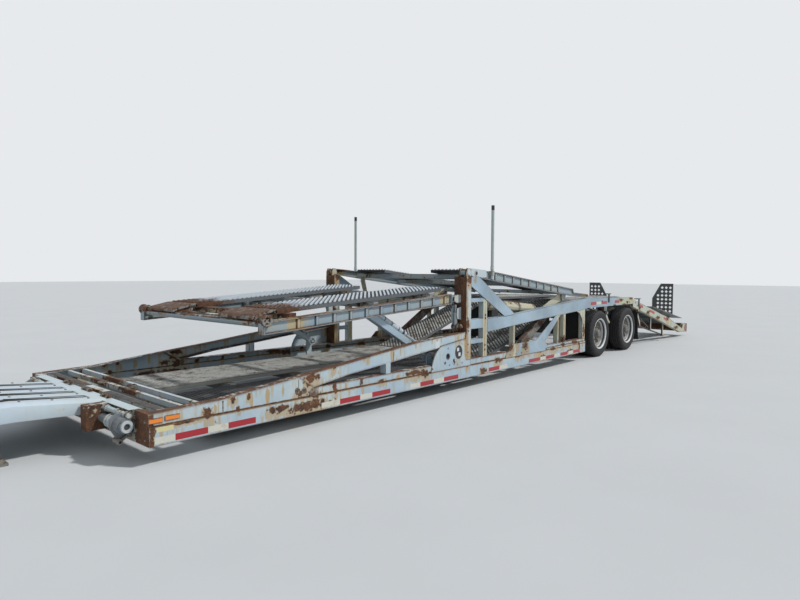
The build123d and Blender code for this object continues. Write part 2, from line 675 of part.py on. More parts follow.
# Rear upper deck
rear_deck_top = (
    (rear_hinge[0], 1482), (3850, 1482), (3230, 1440), (1310, 1220), (1030, 1190), (1000, 1130), (470, 1090),
)
rear_deck_under = (
    (rear_hinge[0], 1398), (3850, 1398), (3230, 1320), (1310, 1105), (1000, 1075), (470, 1040),
)
rear_deck_line = ((3600, 1472), (3450, 1456), (2500, 1356), (1100, 1188), (1030, 1180), (480, 1100))
rear_deck_members = ((3395, 66), (2450, 60), (1140, 50))
rear_ribs = [3700 - 220 * step for step in range(11)]
lift_reach = lift_side_gap + 75
pole_x, pole_radius, pole_foot, pole_top = 3380, 20, 1458, 2300
pole_y = rear_rail_outer + 8
socket_half, socket_depth = 28, 60
head_lug_points = ((1320, 1150), (1300, 1010), (1200, 1010), (1150, 1150))
with BuildPart() as rear_rail:
    deck_rail(rear_deck_top, rear_deck_under, rear_rail_outer, rear_rail_width, rear_ribs, 22)
    extrude(block(side_plane(rear_rail_outer), (rear_hinge[0] - eye_radius - 20, 1400),
                  (rear_hinge[0] + 6, 1480)), amount=rear_rail_width)
    extrude(facet(side_plane(rear_rail_outer), rear_hinge, eye_radius), amount=rear_rail_width)
    extrude(disc(side_plane(rear_rail_outer), rear_hinge, hinge_pin + hinge_play), amount=rear_rail_width,
            mode=Mode.SUBTRACT)
    extrude(block(side_plane(pole_y + pole_radius), (pole_x - socket_half, pole_foot - socket_depth),
                  (pole_x + socket_half, pole_foot)), amount=2 * pole_radius + 20)
    extrude(outline(side_plane(rear_rail_inner + lug_plate), head_lug_points), amount=lug_plate)
    extrude(disc(side_plane(rear_rail_inner), rear_lift_head, lift_pin), amount=lift_reach)
with BuildPart() as rear_deck_frame:
    add(rear_rail.part)
    mirror(rear_rail.part, about=Plane.XZ)
    for member_x, depth in rear_deck_members:
        member_under(rear_deck_line, member_x, depth, rear_rail_inner)
save(rear_deck_frame.part, "rear_deck_frame")
with BuildPart() as rear_deck_track:
    track(rear_deck_line)
save_both(rear_deck_track.part, "rear_deck_runways")
with BuildPart() as marker_pole:
    extrude(facet(floor_plane(pole_foot), (pole_x, pole_y), pole_radius, 12), amount=pole_top - pole_foot)
save_both(marker_pole.part, "marker_poles")

# Cylinders slung under the rear deck, each with a lug at its front and a gusset round its rod's eye
barrel_start, barrel_end, rod_end = (3300, 1019), (2040, 905), (1900, 892)
slung_radius, slung_rod_radius, slung_y = 75, 24, rear_rail_inner - 92
slung_gusset = ((1200, 1010), (1250, 1130), (1320, 1133), (1940, 915), (1900, 855), (1300, 1000))
slung_lug_tops = [(x, height_on(rear_deck_line, x) - track_lip - rear_deck_members[0][1]) for x in (3425, 3365)]
slung_lug = ((3290, 1000), (3330, 1000), (3425, 1300), *slung_lug_tops, (3290, 1060))
slung_plate = 10
with BuildPart() as deck_cylinder:
    extrude(facet(section_across(barrel_start, barrel_end, slung_y), (0, 0), slung_radius),
            amount=length_of(barrel_start, barrel_end))
    extrude(facet(section_across(barrel_end, rod_end, slung_y), (0, 0), slung_rod_radius, 10),
            amount=length_of(barrel_end, rod_end))
    extrude(outline(side_plane(rear_rail_inner), slung_gusset), amount=slung_plate)
    extrude(facet(side_plane(rear_rail_inner), rear_lift_head, lift_pin + 4), amount=slung_plate, mode=Mode.SUBTRACT)
    extrude(facet(side_plane(rear_rail_inner - slung_plate), rod_end, 30, 10),
            amount=rear_rail_inner - slung_plate - slung_y + 30)
    extrude(outline(side_plane(slung_y + 15), slung_lug), amount=30)
save_both(deck_cylinder.part, "deck_cylinders")

# Front upper deck
front_deck_top = ((front_hinge[0] + 65, 1177), (deck_front_x, 994))
front_deck_under = (
    (front_hinge[0] + 65, 1054), (front_hinge[0] + 1235, 980), (deck_front_x - 430, 905), (deck_front_x, 880),
)
front_deck_line = ((front_hinge[0] + 45, 1243), (deck_front_x - 260, 1083))
front_deck_members = ((front_hinge[0] + 345, 63), (front_hinge[0] + 1295, 61), (deck_front_x - 380, 60))
front_ribs = [front_hinge[0] + 180 + 220 * step for step in range(round((front_deck_length - 300) / 220))]
front_tubes = ((deck_front_x - 40, 970, 30), (deck_front_x - 140, 985, 24))
with BuildPart() as front_rail:
    deck_rail(front_deck_top, front_deck_under, front_rail_outer, front_rail_width, front_ribs, 26)
    extrude(block(side_plane(front_rail_outer), (front_hinge[0], front_hinge[1] - eye_radius),
                  (front_hinge[0] + 75, front_hinge[1] + eye_radius)), amount=front_rail_width)
    extrude(facet(side_plane(front_rail_outer), front_hinge, eye_radius), amount=front_rail_width)
    extrude(disc(side_plane(front_rail_outer), front_hinge, hinge_pin + hinge_play), amount=front_rail_width,
            mode=Mode.SUBTRACT)
    extrude(facet(side_plane(front_rail_outer - 24), front_lift_head, 40), amount=front_rail_width - 24)
    extrude(disc(side_plane(front_rail_inner), front_lift_head, lift_pin), amount=lift_reach)
with BuildPart() as front_deck_frame:
    add(front_rail.part)
    mirror(front_rail.part, about=Plane.XZ)
    for member_x, depth in front_deck_members:
        member_under(front_deck_line, member_x, depth, front_rail_inner)
    for tube_x, tube_z, tube_radius in front_tubes:
        extrude(facet(side_plane(front_rail_inner), (tube_x, tube_z), tube_radius), amount=2 * front_rail_inner)
save(front_deck_frame.part, "front_deck_frame")
with BuildPart() as front_deck_track:
    track(front_deck_line)
save_both(front_deck_track.part, "front_deck_runways")


def lift_sleeve(outer, turn, eye, length, width, depth):
    """Square sleeve from its turning pin towards the eye's pin, hollow but for the end at the pin."""
    hollow = sleeve_wall
    extrude(bar(side_plane(outer), turn, along(turn, eye, length), depth), amount=width)
    extrude(facet(side_plane(outer), turn, depth / 2), amount=width)
    extrude(bar(side_plane(outer - hollow), along(turn, eye, depth), along(turn, eye, length + 5),
                depth - 2 * hollow), amount=width - 2 * hollow, mode=Mode.SUBTRACT)
    extrude(disc(side_plane(outer), turn, lift_pin + hinge_play), amount=width, mode=Mode.SUBTRACT)


def lift_arm(outer, turn, eye, start, width, depth):
    """Inner arm of a lift, from inside its sleeve to the wide eye round the far pin."""
    shrink = sleeve_wall + arm_play
    thick = width - 2 * shrink
    extrude(bar(side_plane(outer - shrink), along(turn, eye, start), eye, depth - 2 * shrink), amount=thick)
    extrude(facet(side_plane(outer - shrink), eye, lift_pin + lift_eye_play + 14), amount=thick)
    extrude(facet(side_plane(outer), eye, lift_pin + lift_eye_play + 1), amount=width, mode=Mode.SUBTRACT)


# Front lifts: sleeve and cylinder hung on the deck, arm and rod down to the low frame
ram_radius, ram_rod_radius, ram_play, ram_rise = 28, 14, 1, -67
ram_start, ram_end, ram_stroke = 130, 720, 300
saddle_length, saddle_half = 40, 20
ram_seat = ram_rise + front_lift_depth / 2
clamp_seat = ram_rise - ram_rod_radius + front_lift_depth / 2 - sleeve_wall - arm_play
front_run = length_of(front_lift_head, front_lift_foot)
front_lift_y = front_lift_outer - front_lift_width / 2


def front_along(distance):
    """Point on the front cylinder's axis, by its distance from the sleeve's pin."""
    return along(front_lift_head, front_lift_foot, distance, ram_rise)


with BuildPart() as front_lift_sleeve:
    lift_sleeve(front_lift_outer, front_lift_head, front_lift_foot, 780, front_lift_width, front_lift_depth)
    extrude(facet(section_across(front_along(ram_start), front_along(ram_end), front_lift_y), (0, 0), ram_radius),
            amount=ram_end - ram_start)
    for saddle in (ram_start, ram_end - saddle_length):
        seat_rise = (ram_rise - front_lift_depth / 2) / 2
        extrude(bar(side_plane(front_lift_y + saddle_half), along(front_lift_head, front_lift_foot, saddle, seat_rise),
                    along(front_lift_head, front_lift_foot, saddle + saddle_length, seat_rise), -ram_seat),
                amount=2 * saddle_half)
    bore_start = front_along(ram_end - ram_stroke)
    extrude(facet(section_across(bore_start, front_along(ram_end), front_lift_y), (0, 0), ram_rod_radius + ram_play + 1),
            amount=ram_stroke + 1, mode=Mode.SUBTRACT)
save_pair(front_lift_sleeve.part, "front_lift_sleeve")
rod_start, rod_clamp = ram_end - ram_stroke + 10, front_run - 90
with BuildPart() as front_lift_arm:
    lift_arm(front_lift_outer, front_lift_head, front_lift_foot, 380, front_lift_width, front_lift_depth)
    extrude(facet(section_across(front_along(rod_start), front_along(rod_clamp), front_lift_y), (0, 0),
                  ram_rod_radius), amount=rod_clamp - rod_start)
    clamp_rise = (ram_rise - ram_rod_radius - front_lift_depth / 2 + sleeve_wall + arm_play) / 2
    extrude(bar(side_plane(front_lift_y + saddle_half),
                along(front_lift_head, front_lift_foot, rod_clamp - saddle_length, clamp_rise),
                along(front_lift_head, front_lift_foot, rod_clamp, clamp_rise), -clamp_seat), amount=2 * saddle_half)
save_pair(front_lift_arm.part, "front_lift_arm")

# Rear lifts: sleeve on the low frame, arm up to the deck
with BuildPart() as rear_lift_sleeve:
    lift_sleeve(rear_lift_outer, rear_lift_foot, rear_lift_head, 900, rear_lift_width, rear_lift_depth)
save_pair(rear_lift_sleeve.part, "rear_lift_sleeve")
with BuildPart() as rear_lift_arm:
    lift_arm(rear_lift_outer, rear_lift_foot, rear_lift_head, 440, rear_lift_width, rear_lift_depth)
save_pair(rear_lift_arm.part, "rear_lift_arm")

# Brackets that carry the lifts' feet
bracket_half = 45
front_bracket_y = front_lift_outer + 2 * lug_gap
rear_bracket_y = rear_lift_outer - rear_lift_width - 2 * lug_gap


def bracket(y, foot):
    """Upright plate on a floor cross member, tapering to the pin that it carries."""
    extrude(outline(side_plane(y), (
        (foot[0] - bracket_half, floor_member_top), (foot[0] + bracket_half, floor_member_top),
        (foot[0] + bracket_half, foot[1] - 20), (foot[0] + 25, foot[1] + 30), (foot[0] - 25, foot[1] + 30),
        (foot[0] - bracket_half, foot[1] - 20))), amount=lug_plate)


with BuildPart() as lift_bracket:
    bracket(front_bracket_y + lug_plate, front_lift_foot)
    extrude(facet(side_plane(front_bracket_y), front_lift_foot, lift_pin), amount=front_lift_width + 3 * lug_gap)
    bracket(rear_bracket_y, rear_lift_foot)
    rear_reach = rear_lift_width + 3 * lug_gap
    extrude(disc(side_plane(rear_bracket_y + rear_reach), rear_lift_foot, lift_pin), amount=rear_reach)
save_both(lift_bracket.part, "lift_brackets")

# Ramp trays and their upright flaps
tray_outer, tray_inner = half_width - 80, 500
tray_plate = 12
tray_line = ((aft(0.395), 754), (-tail_reach + 100, 414))
tray_leg_places = (aft(0.48), aft(0.926))
tray_leg_width = 40
flap_hinge_x = -tail_reach + 150
flap_inner, flap_outer = 550, 1020
flap_height, flap_shoulder, flap_chamfer = 750, 400, 190
flap_plate, flap_play = 12, 6
flap_cell, flap_cell_pitch, flap_border = 34, 92, 62
knuckle_radius, knuckle_width, flap_pin = 12, 50, 6
knuckle_rise = 32
tray_leg_outer = track_outer - 20
tray_leg_inner = track_inner + 180
flap_axis_z = height_on(tray_line, flap_hinge_x) + knuckle_rise
with BuildPart() as ramp_tray:
    extrude(outline(side_plane(tray_outer), (
        *tray_line, (tray_line[1][0], tray_line[1][1] - tray_plate), (tray_line[0][0], tray_line[0][1] - tray_plate))),
            amount=tray_outer - tray_inner)
    for leg_at in tray_leg_places:
        for leg_side in (tray_leg_outer, tray_leg_inner):
            rear, front = leg_at - tray_leg_width / 2, leg_at + tray_leg_width / 2
            extrude(outline(side_plane(leg_side), (
                (rear, height_on(ramp_line, rear)), (front, height_on(ramp_line, front)),
                (front, height_on(tray_line, front) - tray_plate), (rear, height_on(tray_line, rear) - tray_plate))),
                    amount=tray_leg_width)
    for knuckle_y in (flap_inner + 20, flap_outer - 70):
        extrude(block(side_plane(knuckle_y + knuckle_width), (flap_hinge_x - knuckle_radius, flap_axis_z - knuckle_rise - 4),
                      (flap_hinge_x + knuckle_radius, flap_axis_z)), amount=knuckle_width)
        extrude(facet(side_plane(knuckle_y + knuckle_width), (flap_hinge_x, flap_axis_z), knuckle_radius, 8),
                amount=knuckle_width)
    extrude(disc(side_plane(flap_outer - 20), (flap_hinge_x, flap_axis_z), flap_pin),
            amount=flap_outer - flap_inner - 40)
save_both(ramp_tray.part, "ramp_trays")

# Loading flap: an upright panel with a cut corner and rows of square openings
panel_foot = flap_axis_z + 24
panel_top = flap_axis_z + flap_height
shoulder_z = flap_axis_z + flap_shoulder
slant = flap_chamfer / (flap_height - flap_shoulder)
with BuildPart() as loading_flap:
    with BuildSketch(cross_plane(flap_hinge_x - flap_plate / 2)) as panel:
        with BuildLine():
            Polyline((flap_inner, panel_foot), (flap_outer, panel_foot), (flap_outer, panel_top),
                     (flap_inner + flap_chamfer, panel_top), (flap_inner, shoulder_z), close=True)
        make_face()
        for row in range(7):
            for column in range(5):
                cell_y = flap_outer - flap_border - flap_cell_pitch * column
                cell_z = flap_axis_z + flap_border + 40 + flap_cell_pitch * row
                edge_y = flap_inner + max(0, cell_z - shoulder_z) * slant + flap_border - 10
                if cell_y > edge_y:
                    with Locations((cell_y, cell_z)):
                        RegularPolygon(flap_cell, 4, mode=Mode.SUBTRACT)
    extrude(panel.sketch, amount=flap_plate)
    knuckle_y = flap_outer - 70 - flap_play
    knuckle_reach = flap_outer - flap_inner - 140 - 2 * flap_play
    extrude(facet(side_plane(knuckle_y), (flap_hinge_x, flap_axis_z), knuckle_radius, 8), amount=knuckle_reach)
    extrude(block(side_plane(knuckle_y), (flap_hinge_x - flap_plate / 2, flap_axis_z),
                  (flap_hinge_x + flap_plate / 2, panel_foot + 6)), amount=knuckle_reach)
    extrude(disc(side_plane(knuckle_y), (flap_hinge_x, flap_axis_z), flap_pin + hinge_play),
            amount=knuckle_reach, mode=Mode.SUBTRACT)
save_pair(loading_flap.part, "loading_flap")
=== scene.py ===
"""Looks of a car transporter semi-trailer, laid round its fixed frame.

Metres, in the frame's own axes: +X points to the tongue, +Y to the left-hand side, +Z up.
Places along the trailer are given from the front axle, and place() turns them into the frame's.
"""
import math

import bpy
from bpy.props import FloatProperty, FloatVectorProperty, IntProperty, PointerProperty
from mathutils import Matrix, Vector


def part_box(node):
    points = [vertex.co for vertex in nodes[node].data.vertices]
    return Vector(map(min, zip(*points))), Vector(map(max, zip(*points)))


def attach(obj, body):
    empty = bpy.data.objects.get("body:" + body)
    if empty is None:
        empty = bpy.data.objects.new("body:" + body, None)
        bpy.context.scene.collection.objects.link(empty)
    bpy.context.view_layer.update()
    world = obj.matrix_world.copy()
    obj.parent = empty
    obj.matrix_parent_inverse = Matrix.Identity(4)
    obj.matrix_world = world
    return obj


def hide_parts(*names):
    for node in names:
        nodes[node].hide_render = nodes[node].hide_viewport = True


bl_info = {
    "name": "Car transporter semi-trailer",
    "version": (1, 0, 0),
    "blender": (4, 5, 0),
    "location": "View3D > Sidebar > Trailer",
    "description": "Weathered paint, wheels, runways, tape and fittings of a car transporter semi-trailer",
    "category": "Object",
}

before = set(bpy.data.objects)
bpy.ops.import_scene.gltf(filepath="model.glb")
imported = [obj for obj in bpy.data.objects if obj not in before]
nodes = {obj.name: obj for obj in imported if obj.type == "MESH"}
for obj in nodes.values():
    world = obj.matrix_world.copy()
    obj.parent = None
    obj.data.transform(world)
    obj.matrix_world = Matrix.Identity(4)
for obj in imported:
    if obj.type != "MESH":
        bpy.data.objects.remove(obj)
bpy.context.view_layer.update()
SIDES = {"left": 1, "right": -1}


def middle(node_name):
    """Centre of a node's box."""
    low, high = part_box(node_name)
    return (low + high) / 2


AXLE_X = middle("tyres_front_left").x
HUB_Z = middle("tyres_front_left").z
TYRE_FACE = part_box("tyres_front_left")[1].y
RUB_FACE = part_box("side_rails")[1].y
PLATE_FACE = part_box("truss_bars")[1].y


def place(x):
    """Frame's x of a place given from the front axle."""
    return AXLE_X + x


def at(x, y, z):
    """Point whose x is given from the front axle."""
    return (place(x), y, z)


# Shader nodes

def put(tree, kind, inputs=(), **settings):
    """Adds a node. Inputs map a socket's name or number to a constant or to the socket that feeds it."""
    made = tree.nodes.new(kind)
    for key, value in settings.items():
        setattr(made, key, value)
    for key, value in dict(inputs).items():
        socket = made.inputs[key]
        if isinstance(value, bpy.types.NodeSocket):
            tree.links.new(value, socket)
        else:
            socket.default_value = value
    return made


def math_of(tree, operation, first, second=0.0, clamp=False):
    """One math node's result."""
    return put(tree, "ShaderNodeMath", {0: first, 1: second}, operation=operation, use_clamp=clamp).outputs[0]


def product(tree, first, second, clamp=False):
    return math_of(tree, "MULTIPLY", first, second, clamp)


def total(tree, first, second):
    return math_of(tree, "ADD", first, second)


def less(tree, first, second, clamp=False):
    return math_of(tree, "SUBTRACT", first, second, clamp)


def larger(tree, first, second):
    return math_of(tree, "MAXIMUM", first, second)


def above(tree, value, level, slope):
    """Rises from 0 to 1 where a value passes a level."""
    return product(tree, less(tree, value, level), slope, clamp=True)


def below(tree, value, level, slope):
    """Rises from 0 to 1 where a value falls under a level."""
    return above(tree, product(tree, value, -1.0), -level, slope)


def blend_of(tree, share, first, second):
    """Two colours mixed by a share."""
    return put(tree, "ShaderNodeMix", {0: share, 6: first, 7: second}, data_type="RGBA").outputs[2]


def noise_of(tree, vector, scale, detail, roughness):
    """Grey noise on a vector."""
    inputs = {"Vector": vector, "Scale": scale, "Detail": detail, "Roughness": roughness}
    return put(tree, "ShaderNodeTexNoise", inputs).outputs["Fac"]


def spot_of(tree):
    """Place on the object."""
    return put(tree, "ShaderNodeTexCoord").outputs["Object"]


def face_of(tree):
    """Direction that the surface faces."""
    return put(tree, "ShaderNodeNewGeometry").outputs["Normal"]


def parts_of(tree, vector):
    """A vector's X, Y and Z."""
    return put(tree, "ShaderNodeSeparateXYZ", {0: vector}).outputs


def hanging(tree, spot, share):
    """Places squeezed in height, so that a noise on them hangs down in runs."""
    return put(tree, "ShaderNodeMapping", {"Vector": spot, "Scale": (1.0, 1.0, share)}).outputs[0]


def opaque(colour, share=1.0):
    """Colour with full alpha, made darker or lighter by a share."""
    return (*(value * share for value in colour[:3]), 1.0)


def new_group(name, inputs, outputs):
    """Empty shader group with its sockets."""
    group = bpy.data.node_groups.new(name, "ShaderNodeTree")
    kinds = {"number": "NodeSocketFloat", "vector": "NodeSocketVector", "colour": "NodeSocketColor"}
    for label, kind, default in inputs:
        socket = group.interface.new_socket(name=label, in_out="INPUT", socket_type=kinds[kind])
        socket.default_value = default
    for label, kind in outputs:
        group.interface.new_socket(name=label, in_out="OUTPUT", socket_type=kinds[kind])
    entry = group.nodes.new("NodeGroupInput")
    leave = group.nodes.new("NodeGroupOutput")
    return group, entry.outputs, leave.inputs


def feed(tree, source, target):
    tree.links.new(source, target)


# Effects that the finishes share

RUST_DARK = (0.045, 0.023, 0.014, 1)
RUST_BROWN = (0.150, 0.062, 0.027, 1)
RUST_ORANGE = (0.300, 0.125, 0.045, 1)


def make_weathering():
    """Masks of rust, stain and faded paint, and the height of what flakes."""
    group, given, out = new_group(
        "Weathering",
        (("Patch Size", "number", 0.3), ("Rust", "number", 0.3), ("Streaks", "number", 0.5),
         ("Edge Wear", "number", 0.6), ("Edge Reach", "number", 0.012), ("Top Wear", "number", 0.3),
         ("Front Wear", "number", 0.0)),
        (("Rust", "number"), ("Stain", "number"), ("Fade", "number"), ("Height", "number")))
    spot = spot_of(group)
    per_metre = math_of(group, "DIVIDE", 1.0, given["Patch Size"])
    broad = noise_of(group, spot, per_metre, 7.0, 0.62)
    small = noise_of(group, spot, product(group, per_metre, 8.0), 6.0, 0.6)
    ragged = total(group, product(group, broad, 0.62), product(group, small, 0.38))

    # Edges: where the rounded normal leaves the flat one, the paint chips
    face = face_of(group)
    rounded = put(group, "ShaderNodeBevel", {"Radius": given["Edge Reach"]}, samples=4).outputs[0]
    alike = put(group, "ShaderNodeVectorMath", {0: face, 1: rounded}, operation="DOT_PRODUCT")
    edge = product(group, less(group, 1.0, alike.outputs["Value"]), 6.0, clamp=True)
    chipped = total(group, product(group, edge, given["Edge Wear"]), ragged)

    # Patches: tops and front ends rust sooner than the sides
    facing = parts_of(group, face)
    exposed = total(group, product(group, above(group, facing["Z"], 0.4, 2.5), given["Top Wear"]),
                    product(group, above(group, facing["X"], 0.4, 2.5), given["Front Wear"]))
    level = less(group, 0.70, product(group, given["Rust"], 0.30))
    level = less(group, level, product(group, exposed, 0.30))
    rust = larger(group, above(group, ragged, level, 18.0), above(group, chipped, 0.86, 9.0))

    # Stains: runs down the upright faces and a halo round the rust
    runs = above(group, noise_of(group, hanging(group, spot, 0.05), 17.0, 4.0, 0.6), 0.53, 7.0)
    runs = product(group, runs, above(group, broad, 0.40, 6.0))
    upright = less(group, 1.0, above(group, facing["Z"], 0.5, 4.0))
    runs = product(group, product(group, runs, upright), given["Streaks"])
    halo = above(group, ragged, less(group, level, 0.06), 9.0)
    halo = larger(group, halo, above(group, chipped, 0.68, 4.0))
    stain = larger(group, runs, product(group, halo, 0.75))

    speck = noise_of(group, spot, 140.0, 3.0, 0.6)
    rough_rust = product(group, less(group, speck, 0.5), rust)
    feed(group, rust, out["Rust"])
    feed(group, stain, out["Stain"])
    feed(group, above(group, noise_of(group, spot, 1.7, 3.0, 0.5), 0.38, 4.0), out["Fade"])
    feed(group, less(group, product(group, rough_rust, 0.9), product(group, rust, 0.5)), out["Height"])
    return group


def make_rust_tones():
    """Browns of old rust, from nearly black to orange."""
    group, given, out = new_group("Rust Tones", (("Grain", "number", 9.0),), (("Color", "colour"),))
    spot = spot_of(group)
    broad = noise_of(group, spot, given["Grain"], 8.0, 0.68)
    fine = noise_of(group, spot, product(group, given["Grain"], 7.0), 5.0, 0.6)
    brown = blend_of(group, above(group, broad, 0.40, 4.0), RUST_DARK, RUST_BROWN)
    feed(group, blend_of(group, above(group, fine, 0.55, 5.0), brown, RUST_ORANGE), out["Color"])
    return group


def make_rust_spot():
    """A patch of rust round a chosen place, its outline torn by a noise."""
    group, given, out = new_group(
        "Rust Spot",
        (("Centre", "vector", (0, 0, 0)), ("Reach", "vector", (0.1, 0.1, 0.1)), ("Torn", "number", 0.0)),
        (("Mask", "number"),))
    away = put(group, "ShaderNodeVectorMath", {0: spot_of(group), 1: given["Centre"]}, operation="SUBTRACT")
    away = put(group, "ShaderNodeVectorMath", {0: away.outputs[0], 1: given["Reach"]}, operation="DIVIDE")
    far = put(group, "ShaderNodeVectorMath", {0: away.outputs[0]}, operation="LENGTH").outputs["Value"]
    near = total(group, less(group, 1.0, far), given["Torn"])
    feed(group, product(group, near, 4.0, clamp=True), out["Mask"])
    return group


def make_dust():
    """Road dust: thick low down and on what faces up."""
    group, given, out = new_group(
        "Road Dust", (("Amount", "number", 0.5), ("Top", "number", 1.0)), (("Mask", "number"),))
    spot = spot_of(group)
    height = math_of(group, "DIVIDE", parts_of(group, spot)["Z"], given["Top"])
    low = less(group, 1.0, height, clamp=True)
    upward = product(group, parts_of(group, face_of(group))["Z"], 0.6, clamp=True)
    torn = above(group, noise_of(group, spot, 11.0, 7.0, 0.65), 0.32, 3.0)
    cover = product(group, total(group, low, upward), torn)
    feed(group, product(group, cover, given["Amount"], clamp=True), out["Mask"])
    return group


EFFECTS = {}


def effect(tree, name, inputs):
    """Places one of the shared groups in a material, with its own values."""
    return put(tree, "ShaderNodeGroup", inputs, node_tree=EFFECTS[name]).outputs


# Kinds of finish

ENDLESS = 50.0
DUST_ON_PAINT = (0.20, 0.18, 0.15, 1)
DUST_ON_STEEL = (0.17, 0.15, 0.13, 1)
DUST_ON_RUBBER = (0.105, 0.098, 0.088, 1)
# Near-black painted shade for sunken recesses
RECESS_SHADE = (0.035, 0.038, 0.045, 1)
DEEP_DIRT = (0.085, 0.055, 0.038, 1)
LENS_DIRT = (0.10, 0.05, 0.025, 1)


def new_material(name):
    """Material with a Principled shader, and its tree."""
    made = bpy.data.materials.new(name)
    made.use_nodes = True
    return made, made.node_tree, made.node_tree.nodes["Principled BSDF"]


def bump(tree, shader, height, strength, distance=0.004):
    relief = put(tree, "ShaderNodeBump", {"Height": height, "Strength": strength, "Distance": distance})
    feed(tree, relief.outputs[0], shader.inputs["Normal"])


def rust_past(tree, spot, along, rusted, start):
    """Adds rust from a place along the trailer to its front end, with a torn border."""
    torn = product(tree, noise_of(tree, spot, 6.0, 7.0, 0.65), 0.9)
    return larger(tree, rusted, above(tree, total(tree, along, torn), start, 5.0))


def painted_steel(name, paint, faded, rust=0.3, streaks=0.5, edge=0.7, top=0.3, front=0.0, patch=0.35,
                  reach=0.012, gloss=0.42, spots=(), dust=0.25, stain=(0.50, 0.36, 0.13), sunk=None, runs=(),
                  coats=(), coat_paint=None):
    """Old paint over steel: faded, run with rust, chipped at its edges and rusted through at chosen spots.

    sunk gives a height, a half width and a place along the trailer that bound its recesses, painted
    near-black as shade. runs are
    long stains: place, top, half width and length. coats are stretches in another paint: start, end, top."""
    made, tree, shader = new_material(name)
    wear = effect(tree, "Weathering", {
        "Patch Size": patch, "Rust": rust, "Streaks": streaks, "Edge Wear": edge, "Edge Reach": reach,
        "Top Wear": top, "Front Wear": front})
    rusted, stained = wear["Rust"], wear["Stain"]
    spot = spot_of(tree)
    where = parts_of(tree, spot)
    if spots or runs:
        torn = product(tree, less(tree, noise_of(tree, spot, 21.0, 8.0, 0.68), 0.5), 3.6)
        dripping = less(tree, noise_of(tree, hanging(tree, spot, 0.12), 30.0, 5.0, 0.6), 0.5)
        dripping = product(tree, dripping, 3.4)
    for centre, spread in spots:
        mask = effect(tree, "Rust Spot", {"Centre": centre, "Reach": spread, "Torn": torn})[0]
        rusted = larger(tree, rusted, mask)
        under = (centre[0], centre[1], centre[2] - spread[2] * 0.9)
        run = (spread[0] * 1.35, spread[1], spread[2] * 2.2)
        halo = effect(tree, "Rust Spot", {"Centre": under, "Reach": run, "Torn": dripping})[0]
        stained = larger(tree, stained, product(tree, halo, 0.8))
    if runs:
        dripping = total(tree, product(tree, dripping, 0.7), product(tree, torn, 0.55))
    for x, top_z, half, length in runs:
        halo = effect(tree, "Rust Spot", {"Centre": (x, 0.0, top_z - length / 2),
                                          "Reach": (half, ENDLESS, length / 2), "Torn": dripping})[0]
        stained = larger(tree, stained, halo)
    colour = blend_of(tree, wear["Fade"], opaque(paint), opaque(faded))
    if coats:
        coated = 0.0
        for start, end, height in coats:
            inside = product(tree, above(tree, where["X"], start, 200.0), below(tree, where["X"], end, 200.0))
            coated = larger(tree, coated, product(tree, inside, below(tree, where["Z"], height, 200.0)))
        colour = blend_of(tree, coated, colour, opaque(coat_paint))
    colour = blend_of(tree, product(tree, stained, 0.8), colour, opaque(stain))
    dirt = effect(tree, "Road Dust", {"Amount": dust, "Top": 0.9})[0]
    colour = blend_of(tree, dirt, colour, DUST_ON_PAINT)
    # Recesses under the height, within the half width and behind the place get painted shade and lose most of
    # their rust
    if sunk:
        height, half_width, front_end = sunk
        aside = math_of(tree, "ABSOLUTE", where["Y"])
        inside = product(tree, below(tree, where["Z"], height, 300.0), below(tree, aside, half_width, 100.0))
        inside = product(tree, inside, below(tree, where["X"], front_end, 300.0))
        colour = blend_of(tree, inside, colour, RECESS_SHADE)
        rusted = product(tree, rusted, less(tree, 1.0, product(tree, inside, 0.8)))
    tones = effect(tree, "Rust Tones", {"Grain": 9.0})[0]
    feed(tree, blend_of(tree, rusted, colour, tones), shader.inputs["Base Color"])
    feed(tree, total(tree, gloss, product(tree, rusted, 0.9 - gloss)), shader.inputs["Roughness"])
    bump(tree, shader, wear["Height"], 0.5)
    return made


def bare_steel(name, metal, rust=0.7, shine=0.0, rough=0.7, grain=12.0, rusty_from=None):
    """Unpainted steel going to rust, all of it past a chosen place along the trailer."""
    made, tree, shader = new_material(name)
    wear = effect(tree, "Weathering", {"Patch Size": 0.12, "Rust": rust, "Streaks": 0.2, "Edge Wear": 0.25,
                                       "Edge Reach": 0.006, "Top Wear": 0.2})
    tones = effect(tree, "Rust Tones", {"Grain": grain})[0]
    dirt = effect(tree, "Road Dust", {"Amount": 0.35, "Top": 0.8})[0]
    rusted = wear["Rust"]
    if rusty_from:
        spot = spot_of(tree)
        rusted = rust_past(tree, spot, parts_of(tree, spot)["X"], rusted, rusty_from)
    colour = blend_of(tree, rusted, opaque(metal), tones)
    feed(tree, blend_of(tree, dirt, colour, DUST_ON_STEEL), shader.inputs["Base Color"])
    feed(tree, total(tree, rough, product(tree, rusted, 0.95 - rough)), shader.inputs["Roughness"])
    shader.inputs["Metallic"].default_value = shine
    bump(tree, shader, wear["Height"], 0.5)
    return made


